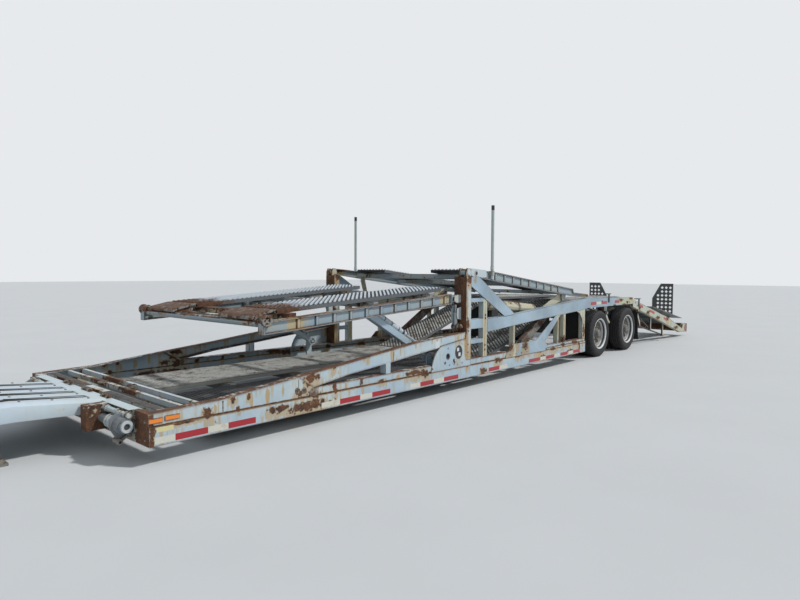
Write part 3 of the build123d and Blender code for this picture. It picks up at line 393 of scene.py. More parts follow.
def runway_steel(name, skirt, gap_shade, rust, right_skirt=None, rusty_from=None):
    """Tray of a runway: painted shade between the strands on top, rusty painted skirts at the sides.

    right_skirt gives the right-hand runway a colour of its own, and rusty_from a place past which rust
    takes over."""
    made, tree, shader = new_material(name)
    wear = effect(tree, "Weathering", {"Patch Size": 0.25, "Rust": rust, "Streaks": 0.5, "Edge Wear": 0.6,
                                       "Edge Reach": 0.008, "Top Wear": 0.0})
    tones = effect(tree, "Rust Tones", {"Grain": 14.0})[0]
    spot = spot_of(tree)
    where = parts_of(tree, spot)
    painted, gap_shade_and_dirt = opaque(skirt), opaque(gap_shade)
    if right_skirt:
        on_right = below(tree, where["Y"], 0.0, 50.0)
        painted = blend_of(tree, on_right, painted, opaque(right_skirt))
        # The right-hand runway's gaps are a darker copy of its skirt colour: painted shade
        gap_shade_and_dirt = blend_of(tree, on_right, gap_shade_and_dirt, opaque(right_skirt, 0.35))
    rusted = wear["Rust"]
    if rusty_from:
        rusted = rust_past(tree, spot, where["X"], rusted, rusty_from)
    # Faces that point up take the gaps' painted shade, mottled with dirt
    upward = above(tree, parts_of(tree, face_of(tree))["Z"], 0.6, 8.0)
    mottle = above(tree, noise_of(tree, spot, 5.0, 8.0, 0.7), 0.50, 4.0)
    gap_shade_and_dirt = blend_of(tree, product(tree, mottle, 0.7), gap_shade_and_dirt, DEEP_DIRT)
    skirts = blend_of(tree, rusted, painted, tones)
    feed(tree, blend_of(tree, upward, skirts, gap_shade_and_dirt), shader.inputs["Base Color"])
    shader.inputs["Roughness"].default_value = 0.85
    bump(tree, shader, wear["Height"], 0.6)
    return made


def rubber(name, colour, dust, rough):
    """Black rubber, dusty where it is rough."""
    made, tree, shader = new_material(name)
    spot = spot_of(tree)
    dirt = effect(tree, "Road Dust", {"Amount": dust, "Top": 1.1})[0]
    wear = above(tree, noise_of(tree, spot, 30.0, 6.0, 0.7), 0.45, 3.0)
    aged = blend_of(tree, wear, opaque(colour), opaque(colour, 1.9))
    feed(tree, blend_of(tree, dirt, aged, DUST_ON_RUBBER), shader.inputs["Base Color"])
    feed(tree, total(tree, rough, product(tree, dirt, 0.2)), shader.inputs["Roughness"])
    bump(tree, shader, noise_of(tree, spot, 220.0, 3.0, 0.6), 0.2, 0.001)
    return made


def sheeting(name, colour, worn):
    """Reflective tape: a fine honeycomb under a clear film, scuffed and rust-stained."""
    made, tree, shader = new_material(name)
    spot = spot_of(tree)
    cells = put(tree, "ShaderNodeTexVoronoi", {"Vector": spot, "Scale": 260.0}, feature="DISTANCE_TO_EDGE")
    cells = cells.outputs[0]
    dirt = above(tree, noise_of(tree, spot, 13.0, 7.0, 0.7), 0.56, 5.0)
    lit = blend_of(tree, above(tree, cells, 0.08, 6.0), opaque(colour, 0.75), opaque(colour))
    feed(tree, blend_of(tree, product(tree, dirt, 0.7), lit, opaque(worn)), shader.inputs["Base Color"])
    feed(tree, total(tree, 0.3, product(tree, dirt, 0.4)), shader.inputs["Roughness"])
    shader.inputs["Coat Weight"].default_value = 0.35
    bump(tree, shader, cells, 0.15, 0.0006)
    return made


def lens(name, colour):
    """Moulded lamp lens with fine flutes."""
    made, tree, shader = new_material(name)
    spot = spot_of(tree)
    flutes = put(tree, "ShaderNodeTexWave", {"Vector": spot, "Scale": 46.0, "Distortion": 0.2},
                 bands_direction="X").outputs["Fac"]
    dirt = above(tree, noise_of(tree, spot, 32.0, 6.0, 0.7), 0.55, 5.0)
    tint = blend_of(tree, product(tree, dirt, 0.6), opaque(colour), LENS_DIRT)
    feed(tree, tint, shader.inputs["Base Color"])
    feed(tree, total(tree, 0.18, product(tree, dirt, 0.4)), shader.inputs["Roughness"])
    shader.inputs["Coat Weight"].default_value = 0.5
    bump(tree, shader, flutes, 0.4, 0.001)
    return made


# Modelling

def only(*pieces):
    """Selects just these objects, the first of them active."""
    bpy.ops.object.select_all(action="DESELECT")
    for piece in pieces:
        piece.select_set(True)
    bpy.context.view_layer.objects.active = pieces[0]


def settle(piece):
    """Puts the object back at the origin, with its place in its mesh."""
    only(piece)
    bpy.ops.object.transform_apply(location=True, rotation=True, scale=True)
    return piece


def modify(piece, kind, **settings):
    """Adds a modifier and applies it."""
    only(piece)
    modifier = piece.modifiers.new(kind.title(), kind)
    for key, value in settings.items():
        setattr(modifier, key, value)
    bpy.ops.object.modifier_apply(modifier=modifier.name)
    return piece


def soften(piece, width, segments=1):
    """Bevels the sharp edges."""
    return modify(piece, "BEVEL", width=width, segments=segments, limit_method="ANGLE",
                  angle_limit=math.radians(35))


def carved(piece, cutters):
    """Cuts shapes out of a piece."""
    cutter = joined(cutters)
    modify(piece, "BOOLEAN", object=cutter, operation="DIFFERENCE", solver="EXACT")
    bpy.data.objects.remove(cutter)
    return piece


def recalculate(piece, merge=0.00002):
    """Merges doubled points and turns every face outwards."""
    only(piece)
    bpy.ops.object.mode_set(mode="EDIT")
    bpy.ops.mesh.select_all(action="SELECT")
    bpy.ops.mesh.remove_doubles(threshold=merge)
    bpy.ops.mesh.normals_make_consistent(inside=False)
    bpy.ops.object.mode_set(mode="OBJECT")
    return piece


def smooth(piece, angle=35):
    only(piece)
    bpy.ops.object.shade_smooth_by_angle(angle=math.radians(angle))
    return piece


def pick(piece, test):
    """Selects only the faces that pass a test."""
    mesh = piece.data
    mesh.vertices.foreach_set("select", [False] * len(mesh.vertices))
    mesh.edges.foreach_set("select", [False] * len(mesh.edges))
    for face in mesh.polygons:
        face.select = test(face)


def block(low, high, bevel):
    """Bevelled box between two corners."""
    low, high = Vector(low), Vector(high)
    bpy.ops.object.select_all(action="DESELECT")
    bpy.ops.mesh.primitive_cube_add(size=1, location=(low + high) / 2, scale=high - low)
    return soften(settle(bpy.context.object), bevel)


def drawn(points):
    """Line through points, extruded point by point, left in edit mode."""
    bpy.ops.object.select_all(action="DESELECT")
    bpy.ops.mesh.primitive_plane_add(size=0.001, location=points[0])
    bpy.ops.object.mode_set(mode="EDIT")
    bpy.ops.mesh.select_mode(type="VERT")
    bpy.ops.mesh.select_all(action="SELECT")
    bpy.ops.mesh.merge(type="CENTER")
    for here, there in zip(points, points[1:]):
        bpy.ops.mesh.extrude_region_move(TRANSFORM_OT_translate={"value": Vector(there) - Vector(here)})
    return bpy.context.object


def plate(points, thickness, bevel=0.0):
    """Flat plate: an outline in space, thickened by a vector."""
    piece = drawn(points)
    bpy.ops.mesh.select_all(action="SELECT")
    bpy.ops.mesh.edge_face_add()
    bpy.ops.mesh.extrude_region_move(TRANSFORM_OT_translate={"value": thickness})
    bpy.ops.object.mode_set(mode="OBJECT")
    recalculate(settle(piece))
    return soften(piece, bevel) if bevel else piece


def side_plate(outline, y, thickness, bevel=0.0):
    """Plate that faces sideways: places and heights of its outline, and the y that it starts from."""
    return plate([at(x, y, z) for x, z in outline], (0, thickness, 0), bevel)


def turned(profile, centre, steps, axis=(0, 1, 0), up=(0, 0, 1)):
    """Turned shape: depth back along the axis and radius, spun about the centre.

    The profile is closed on itself, unless it starts and ends on the axis."""
    centre, axis, up = Vector(centre), Vector(axis), Vector(up)
    rows = profile if profile[0][1] == profile[-1][1] == 0 else (*profile, profile[0])
    points = [centre - axis * depth + up * radius for depth, radius in rows]
    piece = drawn(points)
    bpy.ops.mesh.select_all(action="SELECT")
    bpy.ops.mesh.spin(steps=steps, angle=2 * math.pi, center=centre, axis=axis)
    bpy.ops.object.mode_set(mode="OBJECT")
    return recalculate(settle(piece))


def collar(centre, outer, inner, width, axis=(0, 1, 0), up=(0, 0, 1), steps=28):
    """Ring with chamfered edges, its outer face at the centre and its width going back."""
    cut = min(0.15 * (outer - inner), 0.2 * width)
    return turned(((cut, outer), (0, outer - cut), (0, inner + cut), (cut, inner), (width, inner),
                   (width, outer)), centre, steps, axis, up)


def stepped_disc(centre, rows, axis=(0, 1, 0), up=(0, 0, 1)):
    """Solid turned disc: rows of depth and radius from its crown outwards, closed at the middle."""
    return turned(((rows[0][0], 0.0), *rows, (rows[-1][0], 0.0)), centre, 28, axis, up)


UPWARDS = {"axis": (0, 0, 1), "up": (1, 0, 0)}


def copy_of(piece, matrix):
    """Copy with its own mesh, moved by a matrix."""
    twin = piece.copy()
    twin.data = piece.data.copy()
    twin.data.transform(matrix)
    if matrix.determinant() < 0:
        twin.data.flip_normals()
    bpy.context.collection.objects.link(twin)
    return twin


def joined(pieces):
    """One object from several."""
    only(*pieces)
    if len(pieces) > 1:
        bpy.ops.object.join()
    return settle(bpy.context.object)


def bolt_part(centre, axis, rise, **shape):
    """Short prism that stands on a place along an axis."""
    bpy.ops.object.select_all(action="DESELECT")
    bpy.ops.mesh.primitive_cylinder_add(location=Vector(centre) + Vector(axis) * rise, **shape)
    made = bpy.context.object
    made.rotation_mode = "QUATERNION"
    made.rotation_quaternion = Vector((0, 0, 1)).rotation_difference(Vector(axis))
    return settle(made)


def hexagon_bolt(centre, radius, height, axis=(0, 1, 0)):
    """Six-sided bolt head with a chamfered crown and a washer under it."""
    head = bolt_part(centre, axis, height / 2 + 0.002, vertices=6, radius=radius, depth=height)
    soften(head, radius * 0.14)
    washer = bolt_part(centre, axis, 0.0015, vertices=14, radius=radius * 1.35, depth=0.003)
    return joined([head, washer])


def bolts_at(places, radius, height, axis=(0, 1, 0)):
    """The same bolt at several places."""
    first = hexagon_bolt((0, 0, 0), radius, height, axis)
    made = [copy_of(first, Matrix.Translation(spot)) for spot in places]
    bpy.data.objects.remove(first)
    return joined(made)


FINISHES = {}


def dress(piece, name, body, finish, replaced=()):
    """Names a finished piece, gives it its finish and sets it on its body."""
    piece.name = piece.data.name = name
    piece.data.materials.clear()
    piece.data.materials.append(FINISHES[finish])
    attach(piece, body)
    if replaced:
        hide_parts(*replaced)
    return piece


MIRROR = Matrix.Diagonal((1, -1, 1, 1))


def paired(pieces, name, finish, body="frame"):
    """The pieces and their mirror images on the other side, joined and dressed as one piece."""
    whole = joined(pieces)
    return dress(joined([whole, copy_of(whole, MIRROR)]), name, body, finish)


# Sizes and colours that the panel offers

class TrailerSizes(bpy.types.PropertyGroup):
    """Sizes of the dressing."""
    tape_height: FloatProperty(
        name="Tape height", description="Height of the reflective tape", default=0.05, unit="LENGTH")
    strand_pitch: FloatProperty(
        name="Strand pitch", description="Spacing of the lower runways' strands", default=0.085,
        unit="LENGTH")
    strand_width: FloatProperty(
        name="Strand width", description="Width of one strand", default=0.016, unit="LENGTH")
    deck_pitch: FloatProperty(
        name="Deck pitch", description="Spacing of the decks' strands", default=0.062, unit="LENGTH")
    deck_strand: FloatProperty(
        name="Deck strand", description="Width of one strand on the decks", default=0.020, unit="LENGTH")
    tread_steps: IntProperty(name="Tread steps", description="Faces round a tyre", default=96, min=24)
    wheel_nuts: IntProperty(name="Wheel nuts", description="Nuts on each wheel", default=10, min=4)


class TrailerColours(bpy.types.PropertyGroup):
    """Colours of the dressing, linear."""
    paint: FloatVectorProperty(
        name="Paint", description="Blue-grey paint", subtype="COLOR", default=(0.37, 0.48, 0.56))
    slate: FloatVectorProperty(
        name="Slate paint", description="Duller paint of the beams", subtype="COLOR",
        default=(0.25, 0.33, 0.39))
    faded: FloatVectorProperty(
        name="Faded paint", description="Bleached paint", subtype="COLOR", default=(0.48, 0.55, 0.56))
    cream: FloatVectorProperty(
        name="Cream paint", description="Paint of the posts", subtype="COLOR", default=(0.47, 0.47, 0.37))
    tape_red: FloatVectorProperty(
        name="Red tape", description="Red reflective tape", subtype="COLOR", default=(0.42, 0.012, 0.022))
    tape_white: FloatVectorProperty(
        name="White tape", description="White reflective tape", subtype="COLOR", default=(0.70, 0.68, 0.58))


# Places of rust and stains

def side_spots(*rows):
    """Rust through both sides. Columns: place, height, reach along, reach up."""
    return [(at(x, 0.0, z), (along, ENDLESS, rise)) for x, z, along, rise in rows]


def top_spots(height, *rows):
    """Rust on what faces up. Columns: place, distance from the middle, reach along, reach across."""
    return [(at(x, y, height), (along, across, 0.5)) for x, y, along, across in rows]


def long_stains(*rows):
    """Stains that hang down. Columns: place, top, half width, length."""
    return [(place(x), top, half, length) for x, top, half, length in rows]


RAIL_RUST = side_spots(
    (7.423, 0.325, 0.045, 0.050), (7.150, 0.310, 0.026, 0.022), (7.20, 0.400, 0.035, 0.026),
    (7.05, 0.398, 0.022, 0.030), (6.355, 0.322, 0.075, 0.050), (6.505, 0.345, 0.060, 0.030),
    (6.40, 0.430, 0.07, 0.045), (6.092, 0.335, 0.030, 0.060), (5.738, 0.345, 0.024, 0.045),
    (7.62, 0.286, 0.17, 0.010), (6.42, 0.215, 0.26, 0.050), (6.75, 0.240, 0.12, 0.035),
    (7.88, 0.23, 0.025, 0.20), (4.93, 0.330, 0.16, 0.032), (4.75, 0.300, 0.10, 0.045),
    (2.13, 0.32, 0.20, 0.040), (2.05, 0.20, 0.10, 0.04), (3.60, 0.19, 0.08, 0.05),
    (3.25, 0.29, 0.10, 0.035), (1.0, 0.34, 0.12, 0.040), (0.84, 0.25, 0.03, 0.10),
    (5.0, 0.30, 50.0, 0.006), (2.75, 0.30, 0.10, 0.030), (2.45, 0.33, 0.06, 0.030),
    (1.75, 0.30, 0.12, 0.030), (1.40, 0.33, 0.08, 0.035), (3.95, 0.31, 0.05, 0.030),
    (5.45, 0.31, 0.06, 0.022), (4.45, 0.33, 0.04, 0.026), (1.15, 0.22, 0.10, 0.030))
RAIL_RUNS = long_stains(
    (7.36, 0.39, 0.014, 0.10), (7.02, 0.42, 0.016, 0.12), (6.86, 0.44, 0.022, 0.13),
    (6.70, 0.46, 0.014, 0.13), (5.95, 0.36, 0.016, 0.09), (5.20, 0.36, 0.025, 0.09),
    (4.60, 0.36, 0.016, 0.09), (4.28, 0.36, 0.016, 0.10), (3.95, 0.36, 0.030, 0.14),
    (3.20, 0.36, 0.030, 0.12), (2.60, 0.36, 0.060, 0.12), (2.15, 0.36, 0.080, 0.14),
    (1.60, 0.36, 0.060, 0.13), (1.20, 0.36, 0.040, 0.13), (0.90, 0.36, 0.050, 0.14),
    (0.72, 0.60, 0.030, 0.45))
CHORD_RUST = side_spots(
    (6.097, 0.560, 0.030, 0.045), (5.696, 0.610, 0.022, 0.040), (6.38, 0.47, 0.10, 0.050),
    (5.27, 0.66, 0.020, 0.05), (5.95, 0.600, 0.16, 0.016), (4.20, 0.735, 0.14, 0.020),
    (5.10, 0.690, 0.05, 0.020), (4.90, 0.705, 0.09, 0.018))
CHORD_RUNS = long_stains(
    (6.62, 0.47, 0.012, 0.08), (6.30, 0.50, 0.018, 0.09), (6.05, 0.53, 0.014, 0.10),
    (5.66, 0.585, 0.014, 0.10), (5.30, 0.625, 0.020, 0.12), (5.16, 0.64, 0.014, 0.10),
    (4.90, 0.67, 0.014, 0.09), (4.62, 0.70, 0.012, 0.10), (4.53, 0.71, 0.018, 0.10),
    (4.45, 0.72, 0.010, 0.10), (3.99, 0.72, 0.026, 0.34))
POST_RUST = side_spots((3.955, 0.80, 0.05, 0.10), (3.90, 1.36, 0.08, 0.05), (3.85, 0.30, 0.10, 0.06),
                       (3.55, 0.42, 0.05, 0.05))
POST_RUNS = long_stains((3.950, 1.36, 0.022, 0.75), (3.945, 0.80, 0.034, 0.60), (3.885, 0.60, 0.014, 0.30),
                        (0.72, 0.80, 0.03, 0.60))
BRACE_RUST = side_spots((2.95, 0.42, 0.10, 0.05), (2.55, 0.42, 0.08, 0.06), (1.35, 0.42, 0.04, 0.07),
                        (0.66, 0.50, 0.04, 0.10), (2.75, 0.52, 0.05, 0.07))
BRACE_RUNS = long_stains(
    (3.990, 0.74, 0.040, 0.46), (3.55, 1.10, 0.016, 0.90), (2.84, 0.80, 0.012, 0.30),
    (1.56, 0.80, 0.012, 0.30), (1.35, 0.80, 0.014, 0.34), (0.665, 0.80, 0.014, 0.45),
    (3.78, 1.38, 0.03, 0.08))
BEAM_RUST = side_spots(
    (-0.90, 0.955, 0.10, 0.030), (-1.20, 0.90, 0.05, 0.030), (-1.38, 0.965, 0.10, 0.022),
    (-0.60, 0.86, 0.08, 0.03), (-1.05, 0.86, 0.10, 0.022), (0.10, 0.80, 0.03, 0.02),
    (-0.30, 0.84, 0.06, 0.02))
RAMP_RUST = side_spots(
    (-1.85, 0.78, 0.08, 0.05), (-2.30, 0.66, 0.10, 0.04), (-2.90, 0.52, 0.14, 0.04),
    (-3.50, 0.46, 0.10, 0.04), (-4.10, 0.24, 0.16, 0.04), (-4.82, 0.20, 0.06, 0.10),
    (-3.10, 0.64, 0.10, 0.02), (-4.4, 0.33, 0.12, 0.02))
DECK_RUST = side_spots((6.45, 1.08, 0.10, 0.09), (3.75, 1.47, 0.10, 0.05), (0.6, 1.14, 0.10, 0.04),
                       (4.25, 1.20, 0.08, 0.05))
NOSE_RUST = top_spots(
    0.38, (7.86, 0.44, 0.06, 0.09), (7.84, 0.03, 0.09, 0.16), (7.60, 0.25, 0.05, 0.20),
    (7.50, -0.40, 0.20, 0.25), (7.90, 1.15, 0.10, 0.12), (7.78, -0.75, 0.20, 0.22))
WINCH_RUST = (at(8.10, 0.0, 0.26), (0.22, 9.0, 0.20))
# Thin uprights in the lighter coat: place, top
LIGHT_BARS = ((3.55, 1.10), (2.84, 0.84), (1.56, 0.86), (1.35, 0.86), (0.665, 0.95))
LIGHT_COATS = [(place(x - 0.047), place(x + 0.047), top) for x, top in LIGHT_BARS]
# The beams' rear ends are in the ramp's pale green
PALE_GREEN = (0.40, 0.45, 0.36)
BEAM_COATS = ((place(-9.0), place(-0.80), 9.0),)
OCHRE = (0.43, 0.27, 0.075)

# Every finish: its name, its kind, its first colours and its settings. A word is one of the panel's colours
FINISH_ROWS = (
    ("rail paint", painted_steel, ("paint", "faded"), {
        "rust": 0.12, "streaks": 1.0, "edge": 0.85, "top": 0.75, "front": 1.2, "reach": 0.022,
        "spots": RAIL_RUST, "stain": OCHRE, "runs": RAIL_RUNS}),
    ("chord paint", painted_steel, ("paint", "faded"), {
        "rust": 0.10, "streaks": 1.0, "edge": 0.85, "top": 0.9, "reach": 0.022,
        "spots": CHORD_RUST, "stain": OCHRE, "runs": CHORD_RUNS}),
    ("beam paint", painted_steel, ("slate", "paint"), {
        "rust": 0.06, "streaks": 0.30, "edge": 0.60, "spots": BEAM_RUST, "coats": BEAM_COATS,
        "coat_paint": PALE_GREEN}),
    ("brace paint", painted_steel, ("slate", "paint"), {
        "rust": 0.10, "streaks": 0.45, "edge": 0.60, "patch": 0.2, "spots": BRACE_RUST, "runs": BRACE_RUNS,
        "stain": (0.38, 0.23, 0.06), "coats": LIGHT_COATS, "coat_paint": "cream"}),
    ("post paint", painted_steel, ("cream", "faded"), {
        "rust": 0.20, "streaks": 1.0, "front": 1.5, "patch": 0.3, "spots": POST_RUST,
        "stain": (0.36, 0.20, 0.045), "runs": POST_RUNS}),
    ("bar paint", painted_steel, ((0.44, 0.50, 0.44), "cream"), {
        "rust": 0.22, "streaks": 1.0, "edge": 0.85, "front": 0.5, "reach": 0.02, "patch": 0.25,
        "spots": RAMP_RUST, "stain": (0.44, 0.31, 0.10)}),
    # The nose's recesses between its top strips get painted shade
    ("nose paint", painted_steel, ((0.50, 0.56, 0.62), "faded"), {
        "rust": 0.16, "streaks": 0.9, "front": 0.25, "patch": 0.3, "sunk": (0.345, 1.16, place(7.86)),
        "spots": (*NOSE_RUST, WINCH_RUST)}),
    ("tongue paint", painted_steel, ((0.50, 0.58, 0.66), "faded"), {
        "rust": 0.05, "streaks": 0.15, "edge": 0.30, "top": 0.05, "dust": 0.12, "reach": 0.008}),
    ("deck paint", painted_steel, ("slate", (0.30, 0.36, 0.37)), {
        "rust": 0.14, "streaks": 0.6, "edge": 0.85, "top": 0.75, "front": 0.35, "reach": 0.016,
        "spots": DECK_RUST}),
    ("lift paint", painted_steel, ("paint", "faded"), {
        "rust": 0.08, "streaks": 0.2, "edge": 0.5, "gloss": 0.35}),
    ("low deck paint", painted_steel, ((0.13, 0.155, 0.17), (0.20, 0.22, 0.22)), {
        "rust": 0.40, "streaks": 0.4, "edge": 0.6, "dust": 0.5}),
    ("yellowed barrel", painted_steel, ((0.50, 0.46, 0.33), "cream"), {
        "rust": 0.35, "streaks": 0.3, "edge": 0.6, "patch": 0.18}),
    ("pale steel", painted_steel, ((0.50, 0.56, 0.60), "faded"), {
        "rust": 0.22, "streaks": 0.4, "edge": 0.6, "patch": 0.12, "reach": 0.006}),
    ("tray paint", painted_steel, ((0.20, 0.23, 0.25), (0.30, 0.33, 0.34)), {
        "rust": 0.30, "streaks": 0.3, "edge": 0.8, "top": 0.4}),
    ("pole paint", painted_steel, ((0.30, 0.38, 0.36), (0.40, 0.46, 0.45)), {
        "rust": 0.10, "streaks": 0.3, "edge": 0.3}),
    ("rim paint", painted_steel, ((0.74, 0.76, 0.76), (0.60, 0.62, 0.60)), {
        "rust": 0.10, "streaks": 0.0, "edge": 0.35, "patch": 0.1, "reach": 0.006, "gloss": 0.35,
        "dust": 0.20}),
    # The discs sit deep in the dish: their dark grey is dirt and painted shade
    ("disc paint", painted_steel, ((0.17, 0.175, 0.175), (0.11, 0.11, 0.105)), {
        "rust": 0.35, "streaks": 0.0, "edge": 0.5, "patch": 0.1, "reach": 0.006, "gloss": 0.5, "dust": 0.5}),
    # Near-black steel, also used for the sheets, discs and rings that paint shade into slots, bores and
    # grooves
    ("dark steel", bare_steel, ((0.040, 0.042, 0.045),), {"rust": 0.36}),
    ("rusty steel", bare_steel, ((0.24, 0.23, 0.20),), {"rust": 0.78}),
    ("flap steel", bare_steel, ((0.075, 0.078, 0.080),), {"rust": 0.30}),
    ("winch steel", bare_steel, ((0.20, 0.22, 0.24),), {"rust": 0.42, "shine": 0.2, "rough": 0.5}),
    ("strand", bare_steel, ((0.54, 0.59, 0.63),), {
        "rust": 0.22, "shine": 0.2, "rough": 0.55, "grain": 16.0, "rusty_from": place(6.60)}),
    ("pale strand", bare_steel, ((0.56, 0.56, 0.52),), {"rust": 0.45, "grain": 16.0}),
    ("dark strand", bare_steel, ((0.060, 0.066, 0.074),), {"rust": 0.28, "rough": 0.75, "grain": 16.0}),
    # A runway's second colour is the painted shade between its strands
    ("low runway", runway_steel, ((0.10, 0.11, 0.12), (0.020, 0.023, 0.028)), {
        "rust": 0.30, "right_skirt": (0.46, 0.44, 0.38)}),
    ("deck runway", runway_steel, ((0.13, 0.145, 0.155), (0.030, 0.034, 0.038)), {
        "rust": 0.30, "rusty_from": place(6.55)}),
    ("wheel deck runway", runway_steel, ((0.15, 0.16, 0.165), (0.125, 0.125, 0.118)), {"rust": 0.35}),
    ("tyre rubber", rubber, ((0.0070, 0.0070, 0.0080),), {"dust": 0.14, "rough": 0.78}),
    ("red tape", sheeting, ("tape_red", (0.16, 0.06, 0.03)), {}),
    ("white tape", sheeting, ("tape_white", (0.36, 0.24, 0.10)), {}),
    ("pale label", sheeting, ((0.74, 0.66, 0.34), (0.20, 0.12, 0.06)), {}),
    ("white label", sheeting, ((0.72, 0.74, 0.76), (0.34, 0.28, 0.18)), {}),
    ("dark label", sheeting, ((0.012, 0.012, 0.014), (0.06, 0.055, 0.045)), {}),
    ("amber lens", lens, ((0.80, 0.22, 0.015),), {}),
    ("red lens", lens, ((0.50, 0.012, 0.010),), {}),
)


class TRAILER_OT_finishes(bpy.types.Operator):
    """Makes the shared effects and every finish"""
    bl_idname = "trailer.finishes"
    bl_label = "Finishes"

    def execute(self, context):
        colours = context.scene.trailer_colours
        EFFECTS.update({"Weathering": make_weathering(), "Rust Tones": make_rust_tones(),
                        "Rust Spot": make_rust_spot(), "Road Dust": make_dust()})
        for finish, kind, first, settings in FINISH_ROWS:
            first = [getattr(colours, value) if isinstance(value, str) else value for value in first]
            settings = {key: getattr(colours, value) if isinstance(value, str) else value
                        for key, value in settings.items()}
            FINISHES[finish] = kind(finish.replace(" ", "_"), *first, **settings)
        return {"FINISHED"}


# Finish of each node that stays as it is, by the start of its name
NODE_FINISHES = (
    ("side_rails", "rail paint"), ("upper_chords", "chord paint"), ("rear_beams", "beam paint"),
    ("main_posts", "post paint"), ("truss_bars", "brace paint"), ("mud_shields", "post paint"),
    ("ramp_rails", "bar paint"), ("tail_bar", "bar paint"), ("tie_posts", "dark steel"),
    ("front_crossmember", "nose paint"), ("winches", "winch steel"), ("tongue", "tongue paint"),
    ("landing_legs", "low deck paint"), ("floor_crossmembers", "low deck paint"),
    ("lower_runways", "low runway"), ("wheel_deck", "wheel deck runway"), ("ramp_runways", "deck runway"),
    ("axles", "dark steel"), ("bogie_frame", "low deck paint"), ("springs", "dark steel"),
    ("rear_deck_frame", "deck paint"), ("rear_deck_runways", "deck runway"), ("marker_poles", "pole paint"),
    ("deck_cylinders", "yellowed barrel"), ("front_deck_frame", "deck paint"),
    ("front_deck_runways", "deck runway"), ("front_lift", "lift paint"), ("rear_lift", "rusty steel"),
    ("lift_brackets", "lift paint"), ("ramp_trays", "tray paint"), ("loading_flap", "flap steel"),
    ("side_lamps", "amber lens"), ("tail_lamps", "red lens"), ("tyres", "tyre rubber"), ("rims", "rim paint"),
)


class TRAILER_OT_frame_finish(bpy.types.Operator):
    """Puts the finishes on the frame's own pieces"""
    bl_idname = "trailer.frame_finish"
    bl_label = "Frame finishes"

    def execute(self, context):
        for start, finish in NODE_FINISHES:
            for name, node_object in nodes.items():
                if name.startswith(start):
                    node_object.data.materials.clear()
                    node_object.data.materials.append(FINISHES[finish])
        return {"FINISHED"}


# Camera of the photograph: its place, its yaw, pitch and roll in degrees, its focal length in millimetres
CAMERA_PLACE = (7.172, 5.456, 1.432)
CAMERA_TURNS = (221.904, -2.67, 0.305)
CAMERA_LENS, CAMERA_SENSOR = 26.46, 36.0
# Lamps: name, strength, softness in degrees, direction that it shines from
LAMPS = (("sun_key", 2.5, 4.0, (-0.45, 0.65, 0.85)), ("sun_fill", 0.30, 60.0, (0.7, 0.3, 0.6)))
FLOOR_PALE, FLOOR_PALER = (0.54, 0.54, 0.535, 1), (0.60, 0.60, 0.595, 1)
SKY_LIGHT, SKY_SHOWN = (0.76, 0.88, 1.0, 1), (0.80, 0.82, 0.84, 1)


class TRAILER_OT_stage(bpy.types.Operator):
    """Makes the camera, the floor and the lights"""
    bl_idname = "trailer.stage"
    bl_label = "Stage"

    def make_camera(self, context):
        yaw, pitch, roll = (math.radians(angle) for angle in CAMERA_TURNS)
        forward = Vector((math.cos(yaw) * math.cos(pitch), math.sin(yaw) * math.cos(pitch), math.sin(pitch)))
        level = Vector((math.sin(yaw), -math.cos(yaw), 0))
        upright = level.cross(forward)
        right = level * math.cos(roll) + upright * math.sin(roll)
        overhead = upright * math.cos(roll) - level * math.sin(roll)
        bpy.ops.object.camera_add()
        camera = context.object
        camera.name = "photo_camera"
        turn = Matrix((right, overhead, -forward)).transposed().to_4x4()
        camera.matrix_world = Matrix.Translation(CAMERA_PLACE) @ turn
        camera.data.lens = CAMERA_LENS
        camera.data.sensor_width = CAMERA_SENSOR
        camera.data.sensor_fit = "HORIZONTAL"
        camera.data.clip_end = 300.0
        context.scene.camera = camera

    def make_floor(self, context):
        bpy.ops.object.select_all(action="DESELECT")
        bpy.ops.mesh.primitive_grid_add(x_subdivisions=4, y_subdivisions=4, size=160, location=(0, 0, 0))
        floor = context.object
        floor.name = "floor"
        settle(floor)
        made, tree, shader = new_material("pale_floor")
        mottle = noise_of(tree, spot_of(tree), 0.8, 6.0, 0.6)
        feed(tree, blend_of(tree, mottle, FLOOR_PALE, FLOOR_PALER), shader.inputs["Base Color"])
        shader.inputs["Roughness"].default_value = 0.9
        floor.data.materials.append(made)

    def make_sky(self, context):
        world = bpy.data.worlds.new("soft_sky")
        context.scene.world = world
        world.use_nodes = True
        tree = world.node_tree
        tree.nodes.clear()
        rays = put(tree, "ShaderNodeLightPath").outputs
        seen = larger(tree, rays["Is Camera Ray"], rays["Is Glossy Ray"])
        seen = larger(tree, seen, rays["Is Transmission Ray"])
        sky = put(tree, "ShaderNodeBackground", {"Color": SKY_LIGHT, "Strength": 0.44})
        shown = put(tree, "ShaderNodeBackground", {"Color": SKY_SHOWN, "Strength": 1.0})
        mixed = put(tree, "ShaderNodeMixShader", {0: seen, 1: sky.outputs[0], 2: shown.outputs[0]})
        feed(tree, mixed.outputs[0], put(tree, "ShaderNodeOutputWorld").inputs["Surface"])

    def execute(self, context):
        self.make_camera(context)
        self.make_floor(context)
        self.make_sky(context)
        context.scene.view_settings.view_transform = "Standard"
        for name, strength, softness, towards in LAMPS:
            turn = Vector(towards).to_track_quat("Z", "Y").to_euler()
            bpy.ops.object.light_add(type="SUN", rotation=turn)
            lamp = context.object
            lamp.name = name
            lamp.data.energy = strength
            lamp.data.angle = math.radians(softness)
        return {"FINISHED"}


# Distance between the middles of twin tyres, and how far the rims stand back from the tyres' faces
TWIN_SPACING, RIM_SET_IN = 0.262, 0.006
# Starts of the tread's grooves, and the section of one: step along the tread, radius
GROOVES = (0.052, 0.093, 0.131, 0.172)
GROOVE = ((0, 0.3982), (0.002, 0.3868), (0.007, 0.3868), (0.009, 0.3982))


